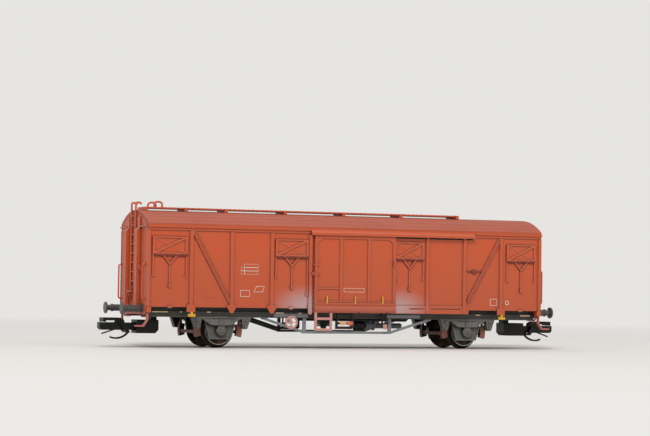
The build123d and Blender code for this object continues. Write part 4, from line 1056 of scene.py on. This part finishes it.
def ladder_plate(shape):
    """A dark plate on the end wall behind the ladder's foot tread: painted shade for the dark space
    there.
    """
    sunk, proud, half_wide = 0.01, 0.25, 1.15
    left, right = -half_length - proud, sunk - half_length
    add_box(shape, left, right, -half_wide, half_wide, 13.95, 15.3)


new_piece("ladder_plate", ladder_plate, painted_shade_red, "wagon")


# Buffers: round heads on plungers in sleeves, each on a square base with four bolts, moulded
# in a warm grey that is left bare.
buffer_abs = moulded("moulded_warm_grey_abs", "#4d4c4b", "#434241", "#6f6e6c", "#121212", 0.42)
for end in ("left", "right"):
    dress(buffer_abs, f"buffers_{end}")
base_bolt = bolt_head(0.14, 0.12)
base_thick = 0.2
buffer_y = 7.3
buffer_z = 9.53
base_bolts = 0.8
for end, way in (("left", -1), ("right", 1)):
    face = way * (half_length + base_thick)
    rows = [
        ((face, y - base_bolts, buffer_z + rise), (face, y + base_bolts, buffer_z + rise))
        for y in (-buffer_y, buffer_y)
        for rise in (-base_bolts, base_bolts)
    ]
    set_along(
        f"buffer_bolts_{end}",
        rows,
        base_bolt,
        2 * base_bolts * nearly,
        (way, 0, 0),
        buffer_abs,
        "wagon",
    )


# Couplers: pocket, hook head and lifting bow in black acetal, which is slippery so that they
# swing freely, and keeps a faint waxy gloss without scuffs.
black_acetal = moulded(
    "moulded_black_acetal", "#0a0a0a", "#101010", "#232424", "#020202", 0.4, index=1.32
)
for end in ("left", "right"):
    dress(black_acetal, f"coupler_pocket_{end}", f"coupler_head_{end}", f"coupler_bow_{end}")


# The studio: a pale floor that sweeps up behind, three soft lamps and the camera, which stands
# where the photograph was taken, low beside the wagon.
def rays_that_look(tree):
    """1 for rays from the camera, off a gloss or through glass, which see the background."""
    ray = add_node(tree, "ShaderNodeLightPath").outputs
    seen = ray["Is Camera Ray"]
    for other in ("Is Glossy Ray", "Is Transmission Ray"):
        seen = add_node(
            tree, "ShaderNodeMath", {"operation": "MAXIMUM"}, {0: seen, 1: ray[other]}
        ).outputs["Value"]
    return seen


def pale_card(name, colour):
    """Matt card. Near the object it takes light and shadow, and further off the camera and
    reflections see its own colour."""
    material, tree = new_material(name)
    place = add_node(tree, "ShaderNodeTexCoord").outputs["Object"]
    away = add_node(
        tree, "ShaderNodeVectorMath", {"operation": "LENGTH"}, {0: place}
    ).outputs["Value"]
    distant = add_node(
        tree, "ShaderNodeMapRange", {"From Min": 0.1, "From Max": 0.5}, {"Value": away}
    )
    share = add_node(
        tree, "ShaderNodeMath", {"operation": "MULTIPLY"}, {0: rays_that_look(tree), 1: distant}
    )
    lit = add_node(tree, "ShaderNodeBsdfPrincipled", {"Base Color": colour, "Roughness": 0.9})
    plain = add_node(tree, "ShaderNodeEmission", {"Color": colour, "Strength": 1})
    mixed = add_node(tree, "ShaderNodeMixShader", links={0: share, 1: lit, 2: plain})
    add_node(tree, "ShaderNodeOutputMaterial", links={"Surface": mixed})
    return material


floor_half = 1.6
sweep_radius = 0.5
sweep_steps = 16
profile = [(-floor_half, 0.0), (floor_half - sweep_radius, 0.0)]
for step in range(1, sweep_steps + 1):
    turn = step / sweep_steps * math.pi / 2
    profile.append(
        (
            floor_half - sweep_radius + sweep_radius * math.sin(turn),
            sweep_radius - sweep_radius * math.cos(turn),
        )
    )
backdrop_high = 1.4
profile.append((floor_half, backdrop_high))
sheet = bpy.data.meshes.new("studio_floor")
corners = [(x, y, z) for y, z in profile for x in (-2 * floor_half, 2 * floor_half)]
sheet.from_pydata(
    corners, [], [(2 * i, 2 * i + 1, 2 * i + 3, 2 * i + 2) for i in range(len(profile) - 1)]
)
for face in sheet.polygons:
    face.use_smooth = True
studio_floor = bpy.data.objects.new("studio_floor", sheet)
bpy.context.scene.collection.objects.link(studio_floor)
card_colour = "#e6e5e2"
sheet.materials.append(pale_card("matt_studio_card", card_colour))

# lamp: place, size, power, colour
for name, place, size, power, colour in (
    ("key_lamp", (-0.45, -0.8, 0.9), 0.4, 8.4, "#ffffff"),
    ("fill_lamp", (0.75, -0.7, 0.35), 0.8, 2.0, "#ffe8cd"),
    ("top_lamp", (0.0, 0.25, 0.95), 0.9, 2.4, "#ffffff"),
):
    light = bpy.data.lights.new(name, "AREA")
    light.size = size
    light.energy = power
    light.color = linear(colour)[:3]
    lamp = bpy.data.objects.new(name, light)
    bpy.context.scene.collection.objects.link(lamp)
    lamp.location = place
    lamp.rotation_mode = "QUATERNION"
    lamp.rotation_quaternion = (-Vector(place)).to_track_quat("-Z", "Y")

# The air lights the object softly, and the camera sees it as the card goes on behind.
world = bpy.data.worlds.new("studio_air")
world.use_nodes = True
tree = world.node_tree
tree.nodes.clear()
air = add_node(tree, "ShaderNodeBackground", {"Color": "#f4f3f1", "Strength": 0.4})
card = add_node(tree, "ShaderNodeBackground", {"Color": card_colour, "Strength": 1})
mixed = add_node(tree, "ShaderNodeMixShader", links={0: rays_that_look(tree), 1: air, 2: card})
add_node(tree, "ShaderNodeOutputWorld", links={"Surface": mixed})
bpy.context.scene.world = world

# The camera's place in millimetres, its turns and its lens are solved from the photograph.
camera_place = Vector((-198.216, -496.297, 14.158)) * mm
yaw, pitch, roll = math.radians(21.494), math.radians(2.027), math.radians(0.843)
forward = Vector(
    (math.sin(yaw) * math.cos(pitch), math.cos(yaw) * math.cos(pitch), math.sin(pitch))
)
level = Vector((math.cos(yaw), -math.sin(yaw), 0))
upright = level.cross(forward)
right = level * math.cos(roll) + upright * math.sin(roll)
up = upright * math.cos(roll) - level * math.sin(roll)
lens = bpy.data.cameras.new("photo_camera")
lens.sensor_fit = "HORIZONTAL"
lens.sensor_width = 36
lens.lens = 115.78
lens.clip_start = 0.01
lens.clip_end = 20
camera = bpy.data.objects.new("photo_camera", lens)
bpy.context.scene.collection.objects.link(camera)
turn = Matrix((right, up, -forward)).transposed().to_4x4()
camera.matrix_world = Matrix.Translation(camera_place) @ turn
bpy.context.scene.camera = camera
bpy.context.scene.view_settings.view_transform = "Standard"
